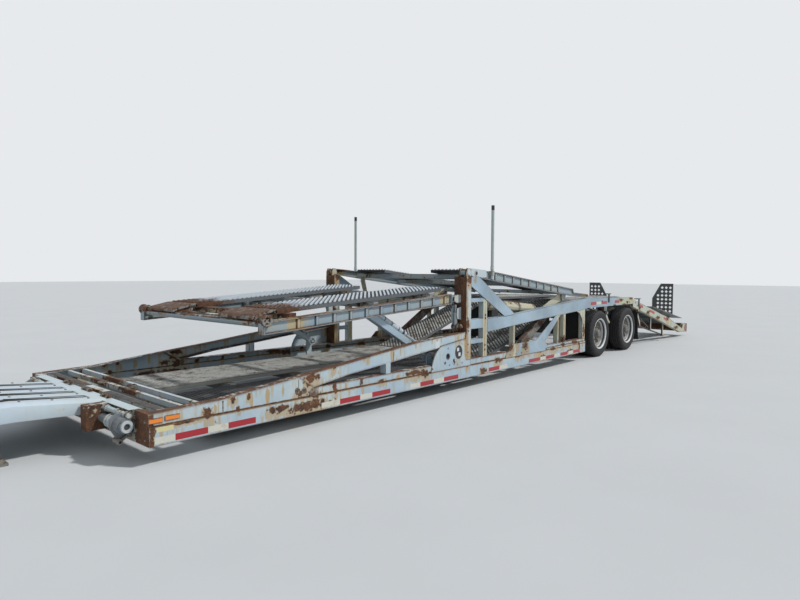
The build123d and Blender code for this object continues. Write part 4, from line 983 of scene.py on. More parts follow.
def tyre_shape(centre, width, steps):
    """Ribbed tyre with a pinched tread, rounded shoulders and beaded sidewalls."""
    outside = [
        (0.026, 0.2485), (0.014, 0.250), (0.009, 0.262), (0.0055, 0.275), (0.0065, 0.279), (0.0035, 0.284),
        (0.0012, 0.305), (0.0004, 0.326), (0.0018, 0.341), (0.0008, 0.345), (0.0040, 0.351), (0.0090, 0.367),
        (0.0160, 0.380), (0.0235, 0.390),
    ]
    tread = [(0.030, 0.394)]
    for groove in GROOVES:
        tread += [(groove + step, radius) for step, radius in GROOVE]
    tread.append((width - 0.030, 0.394))
    inner = [(width - depth, radius) for depth, radius in reversed(outside)]
    liner = [(width - 0.060, 0.285), (0.060, 0.285)]
    piece = turned((*outside, *tread, *inner, *liner), centre, steps)

    def at_lug(face):
        """Whether this is one of every third face round a shoulder."""
        along, up = face.center.x - centre.x, face.center.z - centre.z
        depth = centre.y - face.center.y
        turn = math.atan2(up, along) % (2 * math.pi)
        at_shoulder = 0.022 < depth < 0.052 or width - 0.052 < depth < width - 0.022
        third = int(turn / (2 * math.pi) * steps) % 3 == 0
        return 0.386 < math.hypot(along, up) < 0.3975 and at_shoulder and third

    pick(piece, at_lug)
    only(piece)
    bpy.ops.object.mode_set(mode="EDIT")
    bpy.ops.mesh.select_mode(type="FACE")
    bpy.ops.mesh.inset(thickness=0.0025, depth=-0.0045, use_individual=True)
    bpy.ops.object.mode_set(mode="OBJECT")
    return smooth(piece, 30)


def ring_of(centre, radius, depth, count, start=0.0):
    """Places evenly round a circle that faces sideways."""
    angles = [start + 2 * math.pi * number / count for number in range(count)]
    return [(centre.x + radius * math.cos(angle), centre.y - depth, centre.z + radius * math.sin(angle))
            for angle in angles]


def rim_shape(centre, span, nuts):
    """Dished steel rim through both tyres: lipped barrel, disc with hand holes, hub, cap and nuts."""
    dished = centre + Vector((0, 0.072, 0))
    barrel = turned((
        (0.003, 0.262), (0.000, 0.258), (0.002, 0.252), (0.010, 0.243), (0.024, 0.240), (0.026, 0.229),
        (0.031, 0.229), (0.034, 0.233), (0.060, 0.231), (0.064, 0.222), (0.120, 0.219), (0.195, 0.219),
        (0.260, 0.230), (span - 0.016, 0.243), (span - 0.002, 0.255), (span - 0.004, 0.262),
        (span - 0.020, 0.2485), (0.260, 0.2475), (0.020, 0.2475)), centre, 72)
    disc = turned((
        (0.150, 0.220), (0.156, 0.207), (0.168, 0.198), (0.171, 0.180), (0.166, 0.150), (0.159, 0.136),
        (0.158, 0.060), (0.170, 0.060), (0.171, 0.138), (0.178, 0.152), (0.184, 0.184), (0.184, 0.219)),
        dished, 72)
    cutters = []
    for spot in ring_of(dished, 0.168, 0.17, 5, math.radians(90)):
        bpy.ops.object.select_all(action="DESELECT")
        bpy.ops.mesh.primitive_cylinder_add(vertices=20, radius=0.033, depth=0.08, location=spot,
                                            rotation=(math.radians(90), 0, 0))
        cutters.append(settle(bpy.context.object))
    carved(disc, cutters)
    hub = turned((
        (0.164, 0.0), (0.164, 0.094), (0.150, 0.094), (0.146, 0.088), (0.128, 0.084), (0.124, 0.070),
        (0.108, 0.066), (0.094, 0.064), (0.086, 0.056), (0.083, 0.030), (0.082, 0.0)), dished, 40)
    studs = bolts_at(ring_of(dished, 0.115, 0.158, nuts), 0.0145, 0.024)
    caps = bolts_at(ring_of(dished, 0.050, 0.0865, 6), 0.006, 0.005)
    drum = turned(((0.150, 0.0), (0.150, 0.150), (0.160, 0.190), (0.330, 0.196), (0.330, 0.0)), centre, 48)
    # Near-black ring inside the rim's lip: painted shade of its deep groove
    groove_shade_ring = turned(((0.022, 0.2405), (0.022, 0.2275), (0.048, 0.2275), (0.048, 0.2405)), centre, 72)
    return [smooth(piece, 32) for piece in (barrel, joined([disc, hub, studs, caps]), joined([drum, groove_shade_ring]))]


class TRAILER_OT_wheels(bpy.types.Operator):
    """Makes the tyres and rims of the twin wheels"""
    bl_idname = "trailer.wheels"
    bl_label = "Wheels"

    def execute(self, context):
        sizes = context.scene.trailer_sizes
        outer_low, outer_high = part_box("tyres_front_left")
        width = (outer_high.y - outer_low.y) - TWIN_SPACING
        centre = Vector((AXLE_X, TYRE_FACE, HUB_Z))
        tyre = tyre_shape(centre, width, sizes.tread_steps)
        pair = joined([tyre, copy_of(tyre, Matrix.Translation((0, -TWIN_SPACING, 0)))])
        span = width + TWIN_SPACING - 2 * RIM_SET_IN
        rim, disc, drum = rim_shape(centre - Vector((0, RIM_SET_IN, 0)), span, sizes.wheel_nuts)
        for end in ("front", "rear"):
            for side, sign in SIDES.items():
                wheel = f"{end}_{side}"
                body = f"wheel_{wheel}"
                step = Matrix.Translation((middle(f"tyres_{wheel}").x - AXLE_X, 0, 0))
                turn = step if sign > 0 else MIRROR @ step
                rows = ((pair, "ribbed_tyres", "tyre rubber", [f"tyres_{wheel}"]),
                        (rim, "dished_rims", "rim paint", [f"rims_{wheel}"]),
                        (disc, "wheel_discs", "disc paint", ()), (drum, "brake_drums", "dark steel", ()))
                for pattern, name, finish, stood_for in rows:
                    dress(copy_of(pattern, turn), f"{name}_{wheel}", body, finish, replaced=stood_for)
        for pattern in (pair, rim, disc, drum):
            bpy.data.objects.remove(pattern)
        return {"FINISHED"}


# Tape along the rub strip, from the nose back. Columns: colour, front end, rear end
RAIL_TAPE = (
    ("white", 7.86, 7.70), ("red", 7.70, 7.43), ("white", 7.43, 7.25), ("red", 7.25, 6.99),
    ("white", 6.27, 6.04), ("red", 6.04, 5.77), ("white", 5.77, 5.60), ("red", 5.60, 5.33),
    ("white", 5.01, 4.84), ("red", 4.84, 4.60), ("white", 4.60, 4.41), ("red", 4.41, 4.13),
    ("red", 3.47, 3.22), ("white", 3.20, 3.02), ("red", 2.45, 2.14), ("white", 2.12, 1.96),
    ("red", 1.94, 1.70), ("white", 1.68, 1.51), ("red", 1.49, 1.25), ("white", 1.22, 1.07),
    ("red", 1.05, 0.82),
)
# Tape along the beams, and the red tape on the ramp's sloping rails
BEAM_TAPE = (("red", 0.41, 0.19), ("white", 0.17, -0.01), ("red", -0.03, -0.26), ("red", -0.60, -0.82))
RAMP_TAPE = ((-1.75, -2.02), (-2.40, -2.68), (-3.26, -3.46))
RAIL_TAPE_FOOT, BEAM_TAPE_FOOT = 0.166, 0.905
# Lines down the ramp: place and height of the upper end, fall, length
RAMP_TAPE_FOOT = (-1.48, 0.875, 0.385, 1.682)
RAMP_UNDERSIDE = (-1.699, 0.825, 0.715, 3.101)


def height_on(line, x):
    """Height of a line down the ramp at a place."""
    start, top, fall, length = line
    return top - fall * (start - x) / length


def tape_strip(front, rear, face_y, foot_front, foot_rear, height):
    """One strip of tape with its corners cut, standing a hair off the steel."""
    cut = 0.004
    outline = (
        (rear, foot_rear + cut), (rear + cut, foot_rear),
        (front - cut, foot_front), (front, foot_front + cut),
        (front, foot_front + height - cut), (front - cut, foot_front + height),
        (rear + cut, foot_rear + height), (rear, foot_rear + height - cut),
    )
    return side_plate(outline, face_y - 0.001, 0.0014)


class TRAILER_OT_tape(bpy.types.Operator):
    """Lays the red and white reflective tape along both sides"""
    bl_idname = "trailer.tape"
    bl_label = "Tape"

    def execute(self, context):
        height = context.scene.trailer_sizes.tape_height
        beam_face = PLATE_FACE - 0.008
        strips = {"red": [], "white": []}
        level_tape = ((RAIL_TAPE, RUB_FACE, RAIL_TAPE_FOOT), (BEAM_TAPE, beam_face, BEAM_TAPE_FOOT))
        for rows, face, foot in level_tape:
            for colour, front, rear in rows:
                strips[colour].append(tape_strip(front, rear, face, foot, foot, height))
        for front, rear in RAMP_TAPE:
            feet = (height_on(RAMP_TAPE_FOOT, x) for x in (front, rear))
            strips["red"].append(tape_strip(front, rear, beam_face, *feet, height))
        for colour, pieces in strips.items():
            paired(pieces, f"{colour}_tape_strips", f"{colour} tape")
        return {"FINISHED"}


def strand_field(length, width, pitch, strand, height, tilts):
    """Diagonal strands over a rectangle that starts at the origin, cut off at its edges, a layer per tilt."""
    layers = []
    for tilt in map(math.radians, tilts):
        bpy.ops.object.select_all(action="DESELECT")
        run = width / math.tan(abs(tilt))
        reach = width / math.sin(abs(tilt))
        bpy.ops.mesh.primitive_cube_add(size=1, location=(-run / 2, width / 2, height / 2 - 0.001),
                                        rotation=(0, 0, tilt), scale=(reach * 1.1, strand, height))
        count = int((length + 2 * run) / pitch) + 2
        layers.append(modify(settle(bpy.context.object), "ARRAY", count=count, use_relative_offset=False,
                             use_constant_offset=True, constant_offset_displace=(pitch, 0, 0)))
    field = joined(layers)
    only(field)
    bpy.ops.object.mode_set(mode="EDIT")
    cuts = (((0, 0, 0), (-1, 0, 0)), ((length, 0, 0), (1, 0, 0)),
            ((0, 0, 0), (0, -1, 0)), ((0, width, 0), (0, 1, 0)))
    for spot, outward in cuts:
        bpy.ops.mesh.select_all(action="SELECT")
        bpy.ops.mesh.bisect(plane_co=spot, plane_no=outward, use_fill=True, clear_outer=True)
    bpy.ops.object.mode_set(mode="OBJECT")
    return field


def strands_along(line, inner, outer, pitch, strand, height, tilts):
    """Strands on each straight stretch of a left-hand runway."""
    made = []
    margin, end_gap, lift = 0.015, 0.012, 0.0005
    for (rear, rear_z), (front, front_z) in zip(line, line[1:]):
        length = math.hypot(front - rear, front_z - rear_z) - end_gap
        if length < pitch:
            continue
        field = strand_field(length, outer - inner - 2 * margin, pitch, strand, height, tilts)
        tilt = Matrix.Rotation(-math.atan2(front_z - rear_z, front - rear), 4, "Y")
        field.data.transform(Matrix.Translation(at(rear, inner + margin, rear_z + lift)) @ tilt)
        made.append(field)
    return joined(made)


# Inner edges of the upper and the lower runways, and the outer edge of the upper ones
TRACK_INNER, TRACK_OUTER, LOW_TRACK_INNER = 0.430, 1.000, 0.180
LOW_LINE = ((3.150, 0.270), (7.280, 0.270))
# Runways with strands that lean one way. Columns: piece, body, finish, places and heights of the top
DECK_LINES = (
    ("wheel_deck_strands", "frame", "pale strand", ((-1.470, 0.985), (0.900, 0.985), (3.140, 0.270))),
    ("ramp_strands", "frame", "pale strand", ((-4.800, 0.250), (-1.69905, 0.965))),
    ("rear_deck_strands", "rear_deck", "strand", (
        (0.480, 1.100), (1.030, 1.180), (1.100, 1.188), (2.500, 1.356), (3.450, 1.456), (3.600, 1.472))),
    ("front_deck_strands", "front_deck", "strand", ((4.100, 1.243), (6.570, 1.083))),
)
LOW_STRAND_HEIGHT, DECK_STRAND_HEIGHT = 0.005, 0.014
LOW_TILTS, DECK_TILTS = (27, -27), (45,)


class TRAILER_OT_strands(bpy.types.Operator):
    """Lays the diagonal strands of the expanded metal on the runways"""
    bl_idname = "trailer.strands"
    bl_label = "Runway strands"

    def execute(self, context):
        sizes = context.scene.trailer_sizes
        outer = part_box("rear_deck_runways")[1].y
        low_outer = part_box("lower_runways")[1].y
        low = strands_along(LOW_LINE, LOW_TRACK_INNER, low_outer, sizes.strand_pitch, sizes.strand_width,
                            LOW_STRAND_HEIGHT, LOW_TILTS)
        dress(copy_of(low, MIRROR), "low_runway_strands_right", "frame", "pale strand")
        dress(low, "low_runway_strands_left", "frame", "dark strand")
        for name, body, finish, line in DECK_LINES:
            field = strands_along(line, TRACK_INNER, outer, sizes.deck_pitch, sizes.deck_strand,
                                  DECK_STRAND_HEIGHT, DECK_TILTS)
            across = copy_of(field, Matrix.Translation((0, -TRACK_INNER - outer, 0)))
            dress(joined([field, across]), name, body, finish)
        return {"FINISHED"}


def seat(x, z, *names):
    """Distance from the middle of the left-hand face at a place on the named nodes, 0 where there is none."""
    found = []
    for name in names:
        hit, spot, _, _ = nodes[name].ray_cast(Vector(at(x, 2.0, z)), Vector((0, -1, 0)))
        if hit:
            found.append(spot.y)
    return max(found, default=0.0)


def oval_plate(centre, radius, tall, thickness):
    """Flat oval that faces sideways: half its length, its height as a share of that, its thickness."""
    x, y, z = centre
    turns = [2 * math.pi * step / 32 for step in range(32)]
    points = [(x + radius * math.cos(turn), y, z + tall * radius * math.sin(turn)) for turn in turns]
    return plate(points, (0, thickness, 0))


def toothed_wheel(centre, radius, tooth, count, thickness):
    """Ratchet wheel with slanted teeth, facing sideways."""
    x, y, z = centre
    points = []
    for number in range(count):
        for turn, reach in ((0.0, radius), (0.72, radius + tooth), (0.80, radius + tooth)):
            angle = 2 * math.pi * (number + turn) / count
            points.append((x + reach * math.cos(angle), y, z + reach * math.sin(angle)))
    return plate(points, (0, thickness, 0), 0.0008)


# Middles of the tongue's slots from side to side, and half their width
SLOT_ROWS = (-0.39, -0.13, 0.13, 0.39)
SLOT_HALF = 0.055
# Side views of the tongue's slots: what is cut out, the raised lips, and the near-black sheets of painted
# shade on the floor and the walls
SLOT_CUT = ((7.99, 0.376), (8.55, 0.430), (9.65, 0.430), (9.65, 0.60), (7.99, 0.60))
SLOT_LIP = ((7.985, 0.4075), (8.56, 0.4655), (8.56, 0.4700), (7.985, 0.4120))
SLOT_FLOOR = ((7.994, 0.3765), (8.55, 0.4305), (9.646, 0.4305), (9.646, 0.4345), (8.55, 0.4345),
              (7.994, 0.3805))
SLOT_WALL = ((7.994, 0.3775), (8.55, 0.4315), (9.646, 0.4315), (9.646, 0.4650), (8.55, 0.4650),
             (7.994, 0.4020))


class TRAILER_OT_tongue(bpy.types.Operator):
    """Cuts the tongue's long slots back towards the body and rounds its edges"""
    bl_idname = "trailer.tongue"
    bl_label = "Tongue"

    def execute(self, context):
        tongue = bpy.data.objects.new("slotted_tongue", nodes["tongue"].data.copy())
        context.collection.objects.link(tongue)
        recalculate(tongue, 0.0001)
        carved(tongue, [side_plate(SLOT_CUT, y - SLOT_HALF, 2 * SLOT_HALF) for y in SLOT_ROWS])
        smooth(soften(tongue, 0.006, 2), 40)
        dress(tongue, "slotted_tongue", "frame", "tongue paint", replaced=["tongue"])

        lips, slot_shade_sheets = [], []
        for y in SLOT_ROWS:
            for edge in (-1, 1):
                lips.append(side_plate(SLOT_LIP, y + edge * (SLOT_HALF + 0.006) - 0.006, 0.012))
            # Near-black sheets on each slot's floor and walls: painted shade inside the slot
            slot_shade_sheets.append(side_plate(SLOT_FLOOR, y - SLOT_HALF + 0.001, 2 * SLOT_HALF - 0.002))
            for side in (y - SLOT_HALF + 0.0002, y + SLOT_HALF - 0.0022):
                slot_shade_sheets.append(side_plate(SLOT_WALL, side, 0.002))
        dress(joined(lips), "tongue_slot_lips", "frame", "tongue paint")
        dress(joined(slot_shade_sheets), "tongue_slot_liners", "frame", "dark steel")
        places = [at(x, y, 0.4125 + (x - 8.0) * 0.1) for x in (8.02, 8.28, 8.50)
                  for y in (-0.50, -0.26, 0.0, 0.26, 0.50)]
        dress(bolts_at(places, 0.009, 0.006, (0, 0, 1)), "tongue_bolts", "frame", "rusty steel")
        return {"FINISHED"}


# Places and heights of the two winch shafts, and the nose's front and top
WINCH_X, WINCH_Z = 7.985, 0.290
UPPER_SHAFT_X, UPPER_SHAFT_Z = 7.955, 0.360
NOSE_FRONT, NOSE_TOP = 7.9, 0.392
# Corner lamps' windows: rear end, front end, foot, head. The frames' depth, and the width of their bars
LAMP_WINDOWS = ((7.663, 7.773, 0.330, 0.358), (7.796, 7.898, 0.324, 0.352))
LAMP_BACK, LAMP_FACE, LAMP_RIM = 1.281, 1.2895, 0.005
# Upright lugs and loose rings on the nose: place, distance from the middle, a ring's turn
NOSE_LUGS = ((7.870, 0.40), (7.870, 0.50), (7.865, -0.02), (7.865, 0.10), (7.865, -0.46), (7.865, -0.34))
NOSE_RINGS = ((7.58, 0.28, 0.4), (7.50, 0.10, -0.7), (7.62, -0.25, 1.1))


class TRAILER_OT_nose(bpy.types.Operator):
    """Makes the winches' hubs, collars, second shafts and ratchets, and the fittings on the nose"""
    bl_idname = "trailer.nose"
    bl_label = "Nose fittings"

    def make_winches(self):
        # Collars on the main shaft. Columns: distance from the middle, outer radius, inner radius, width
        rows = ((1.135, 0.046, 0.023, 0.020), (0.935, 0.056, 0.034, 0.022), (0.885, 0.050, 0.034, 0.016),
                (0.852, 0.054, 0.034, 0.014))
        hub = [collar(at(WINCH_X, y, WINCH_Z), outer, inner, width, steps=36)
               for y, outer, inner, width in rows]
        shaft = ((0.0, 0.016), (0.004, 0.020), (0.430, 0.020), (0.434, 0.016))
        hub.append(stepped_disc(at(UPPER_SHAFT_X, 1.095, UPPER_SHAFT_Z), shaft))
        hub += [collar(at(UPPER_SHAFT_X, y, UPPER_SHAFT_Z), 0.027, 0.019, 0.018)
                for y in (1.060, 0.900, 0.730)]
        paired([smooth(joined(hub))], "winch_collars", "pale steel")
        # Near-black disc in the hub's end: painted shade of its bore
        bore = stepped_disc(at(WINCH_X, 1.121, WINCH_Z), ((0.0, 0.014), (0.002, 0.024), (0.006, 0.026)))
        paired([bore], "winch_bores", "dark steel")

        pawl = ((7.935, 0.372), (7.980, 0.356), (7.997, 0.352), (7.991, 0.366), (7.945, 0.388))
        foot = ((7.905, 0.215), (7.985, 0.160), (8.020, 0.160), (8.020, 0.176), (7.990, 0.176),
                (7.905, 0.245))
        ear = ((7.905, 0.330), (7.933, 0.388), (7.975, 0.388), (7.981, 0.350), (7.955, 0.326))
        ratchet = [toothed_wheel(at(WINCH_X, 0.966, WINCH_Z), 0.060, 0.010, 16, 0.014),
                   side_plate(pawl, 0.968, 0.010, 0.0015), side_plate(foot, 0.985, 0.050, 0.002),
                   collar(at(8.006, 1.062, 0.168), 0.021, 0.011, 0.104)]
        ratchet += [side_plate(ear, y, 0.008, 0.001) for y in (0.70, 1.07)]
        paired(ratchet, "winch_ratchets", "rusty steel")

    def make_lamp_frames(self):
        rim = LAMP_RIM
        frames = []
        for rear, front, low, high in LAMP_WINDOWS:
            bars = ((rear - rim, front + rim, high, high + rim), (rear - rim, front + rim, low - rim, low),
                    (rear - rim, rear, low, high), (front, front + rim, low, high))
            for start, end, foot, head in bars:
                end = min(end, NOSE_FRONT)
                frames.append(block(at(start, LAMP_BACK, foot), at(end, LAMP_FACE, head), 0.001))
        paired(frames, "lamp_frames", "rusty steel")
        label = tape_strip(7.844, 7.713, RUB_FACE, 0.252, 0.252, 0.036)
        paired([label], "nose_labels", "pale label")

    def make_lugs(self):
        lugs = []
        for x, y in NOSE_LUGS:
            outline = ((x - 0.032, NOSE_TOP), (x + 0.026, NOSE_TOP), (x + 0.022, NOSE_TOP + 0.020),
                       (x + 0.004, NOSE_TOP + 0.034), (x - 0.016, NOSE_TOP + 0.032))
            lugs.append(side_plate(outline, y, 0.010, 0.0015))
        pin = ((0, 0.007), (0.003, 0.010), (0.150, 0.010), (0.153, 0.007))
        lugs += [stepped_disc(at(7.865, y, NOSE_TOP + 0.018), pin) for y in (0.525, 0.125, -0.315)]
        for x, y, turn in NOSE_RINGS:
            up = (math.cos(turn), math.sin(turn), 0)
            lugs.append(collar(at(x, y, NOSE_TOP + 0.010), 0.042, 0.030, 0.010, (0, 0, 1), up))
        dress(joined(lugs), "nose_lugs", "frame", "rusty steel")

    def make_plates(self):
        # Cover plates. Columns: front end, right-hand edge, left-hand edge
        rows = ((7.936, 0.52, 1.04), (7.936, -1.04, -0.52), (7.896, 0.14, 0.38), (7.896, -0.30, -0.04),
                (7.896, -0.54, -0.48))
        covers = [block(at(7.846, right, NOSE_TOP - 0.001), at(front, left, NOSE_TOP + 0.004), 0.0015)
                  for front, right, left in rows]
        dress(joined(covers), "nose_cover_plates", "frame", "tongue paint")
        treads = []
        ribs, inner, outer = 26, 0.20, 1.17
        pitch = (outer - inner) / ribs
        for right in (inner, -outer):
            left = right + ribs * pitch
            treads.append(block(at(7.726, right, NOSE_TOP - 0.001),
                                at(7.789, left, NOSE_TOP + 0.0015), 0.0006))
            for number in range(ribs):
                start = right + (number + 0.25) * pitch
                treads.append(block(at(7.733, start, NOSE_TOP + 0.001),
                                    at(7.782, start + pitch * 0.35, NOSE_TOP + 0.003), 0.0006))
        dress(joined(treads), "nose_tread_plates", "frame", "dark steel")

    def execute(self, context):
        self.make_winches()
        self.make_lamp_frames()
        self.make_lugs()
        self.make_plates()
        bolts = [at(NOSE_FRONT, y, z) for y in (0.60, 0.655, -0.60, -0.655) for z in (0.225, 0.300, 0.365)]
        bolts += [at(NOSE_FRONT, sign * y, z) for sign in (1, -1)
                  for y, z in ((1.235, 0.19), (1.235, 0.33), (1.16, 0.19))]
        dress(bolts_at(bolts, 0.009, 0.006, (1, 0, 0)), "nose_bolts", "frame", "rusty steel")
        return {"FINISHED"}


# Bolts of the side's plates. Columns: place, height
SIDE_BOLTS = (
    (4.62, 0.335), (4.30, 0.345), (4.05, 0.345), (4.33, 0.545), (4.14, 0.335), (3.93, 0.56), (3.93, 0.46),
    (3.93, 1.33), (3.93, 1.28), (3.93, 0.72), (3.05, 0.40), (2.95, 0.33), (2.80, 0.33), (2.65, 0.33),
    (2.50, 0.33), (3.55, 0.46), (3.55, 0.52), (3.545, 0.90), (3.545, 0.86), (1.55, 0.40), (1.35, 0.40),
    (0.665, 0.42), (0.665, 0.60), (0.85, 0.66), (0.90, 0.74), (-0.05, 0.96), (-1.30, 0.90), (-1.38, 0.84),
    (-1.60, 0.88), (-1.70, 0.82),
)
SIDE_NODES = ("side_rails", "upper_chords", "truss_bars", "main_posts", "rear_beams", "ramp_rails",
              "mud_shields")
# Weld seams: place, foot, head, half width. Lashing eyes: place, height, radius
WELD_SEAMS = ((7.291, 0.298, 0.398, 0.006), (5.267, 0.499, 0.590, 0.007), (6.53, 0.302, 0.470, 0.004))
LASHING_EYES = ((6.543, 0.370, 0.027), (6.467, 0.362, 0.027), (5.745, 0.330, 0.018), (7.20, 0.372, 0.013))
# Least distance from the middle at which a side's face can take a bolt
SIDE_DEPTH = 1.20


def square(x, z, half):
    """Outline of a square, from its rear lower corner."""
    return ((x - half, z - half), (x + half, z - half), (x + half, z + half), (x - half, z + half))


class TRAILER_OT_side_details(bpy.types.Operator):
    """Makes the weld seams, lashing eyes, bosses, bolts and blank labels along both sides"""
    bl_idname = "trailer.side_details"
    bl_label = "Side details"

    def execute(self, context):
        beads = []
        for x, foot, head, half in WELD_SEAMS:
            face = seat(x, (foot + head) / 2, *SIDE_NODES)
            outline = ((x - half, foot), (x + half, foot), (x + half, head), (x - half, head))
            beads.append(side_plate(outline, face - 0.001, 0.0035, 0.0015))
        paired(beads, "weld_seams", "rusty steel")

        eyes, bores = [], []
        for x, z, radius in LASHING_EYES:
            face = seat(x, z, *SIDE_NODES)
            eyes.append(collar(at(x, face + 0.004, z), radius, radius * 0.62, 0.006))
            # Near-black disc inside each eye: painted shade of its hole
            bores.append(stepped_disc(at(x, face + 0.0008, z), ((0, radius * 0.3), (0.0012, radius * 0.64))))
        face = seat(6.355, 0.322, *SIDE_NODES)
        boss = ((0, 0.020), (0.002, 0.034), (0.005, 0.036), (0.006, 0.046), (0.011, 0.050))
        eyes.append(stepped_disc(at(6.355, face + 0.010, 0.322), boss))
        paired(eyes, "lashing_eyes", "rusty steel")
        paired(bores, "lashing_eye_bores", "dark steel")

        bolts = []
        for x, z in SIDE_BOLTS:
            face = seat(x, z, *SIDE_NODES)
            if face > SIDE_DEPTH:
                bolts.append(at(x, min(face, RUB_FACE - 0.009), z))
        paired([bolts_at(bolts, 0.011, 0.006)], "side_bolts", "rusty steel")

        face = seat(4.119, 0.482, *SIDE_NODES)
        dark = oval_plate(at(4.119, face - 0.0005, 0.482), 0.072, 1.15, 0.0016)
        paired([dark], "round_labels", "dark label")
        patches = [side_plate(square(x, z, 0.021), face + 0.0008, 0.0008)
                   for x, z in ((4.135, 0.515), (4.105, 0.455))]
        face = seat(4.52, 0.605, *SIDE_NODES)
        patches.append(side_plate(((4.482, 0.572), (4.556, 0.560), (4.556, 0.640), (4.482, 0.650)),
                                  face - 0.0005, 0.0014))
        paired(patches, "square_labels", "white label")
        return {"FINISHED"}


# Front face of the main posts, the rear deck's hinge, and the marker poles
POST_FRONT = 3.968
REAR_HINGE_X, REAR_HINGE_Z = 3.920, 1.440
POLE_X, POLE_Y = 3.380, 1.270


class TRAILER_OT_post_fittings(bpy.types.Operator):
    """Makes the small jacks at the main posts, the hinge caps and the sockets of the marker poles"""
    bl_idname = "trailer.post_fittings"
    bl_label = "Post fittings"

    def make_jacks(self):
        inner = ((POST_FRONT, 0.790), (4.045, 0.800), (4.062, 0.850), (4.062, 0.990), (4.035, 1.030),
                 (POST_FRONT, 1.035))
        outer = ((POST_FRONT, 0.860), (4.040, 0.870), (4.052, 0.900), (4.052, 1.000), (POST_FRONT, 1.020))
        barrel = ((0, 0.010), (0.003, 0.013), (0.090, 0.013), (0.092, 0.021), (0.262, 0.021), (0.268, 0.016))
        jack = [side_plate(inner, 1.128, 0.006, 0.001), side_plate(outer, 1.206, 0.006, 0.001),
                stepped_disc(at(4.022, 1.168, 1.045), barrel, **UPWARDS),
                collar(at(4.022, 1.168, 0.950), 0.027, 0.020, 0.020, **UPWARDS)]
        paired([smooth(joined(jack))], "post_jacks", "pale steel")

        boss = ((0, 0.018), (0.004, 0.030), (0.016, 0.034), (0.020, 0.024), (0.120, 0.024), (0.124, 0.034),
                (0.140, 0.030))
        cheek = ((POST_FRONT, 0.715), (4.050, 0.722), (4.060, 0.760), (4.035, 0.812), (POST_FRONT, 0.825))
        pivot = [stepped_disc(at(4.010, 1.250, 0.775), boss), side_plate(cheek, 1.150, 0.060, 0.003),
                 hexagon_bolt(at(4.010, 1.248, 0.775), 0.014, 0.010)]
        paired(pivot, "post_pivots", "rusty steel")

    def execute(self, context):
        self.make_jacks()
        face = seat(REAR_HINGE_X, REAR_HINGE_Z, "main_posts")
        cap = stepped_disc(at(REAR_HINGE_X, RUB_FACE - 0.0004, REAR_HINGE_Z),
                           ((0, 0.020), (0.0012, 0.026), (0.0018, 0.034), (RUB_FACE - face + 0.001, 0.036)))
        paired([cap], "hinge_caps", "pale steel")

        face = seat(3.70, 1.43, "rear_deck_frame")
        outline = ((3.500, 1.385), (3.525, 1.372), (3.800, 1.384), (3.836, 1.405), (3.842, 1.470),
                   (3.820, 1.487), (3.520, 1.468), (3.500, 1.450))
        bracket = [side_plate(outline, face - 0.001, 0.011, 0.0015),
                   collar(at(3.728, face + 0.014, 1.428), 0.036, 0.024, 0.012, steps=32)]
        paired(bracket, "deck_end_brackets", "pale steel", "rear_deck")
        # Near-black disc in the bracket's collar: painted shade of its bore
        hole = stepped_disc(at(3.728, face + 0.0108, 1.428), ((0, 0.010), (0.001, 0.025)))
        paired([hole], "deck_end_bracket_bores", "dark steel", "rear_deck")

        sockets = [collar(at(POLE_X, POLE_Y, height), outer, 0.0195, width, **UPWARDS)
                   for height, outer, width in ((1.515, 0.0245, 0.040), (1.400, 0.0225, 0.050))]
        paired([smooth(joined(sockets))], "pole_sockets", "pale steel", "rear_deck")
        tips = stepped_disc(at(POLE_X, POLE_Y, 2.2995), ((0, 0.012), (0.004, 0.0205), (0.060, 0.0205),
                                                         (0.064, 0.019)), **UPWARDS)
        paired([smooth(tips)], "pole_tips", "dark steel", "rear_deck")
        return {"FINISHED"}


DECK_WINCH_X, DECK_WINCH_Z = 6.795, 1.003
# Side views of a front deck runway's tip and of the webs under it
TIP = ((6.560, 1.0885), (6.605, 1.0870), (6.790, 1.048), (6.826, 1.024), (6.826, 1.004), (6.780, 1.024),
       (6.600, 1.064), (6.560, 1.066))
TIP_WEB = ((6.580, 1.070), (6.810, 1.020), (6.790, 0.990), (6.600, 1.000))


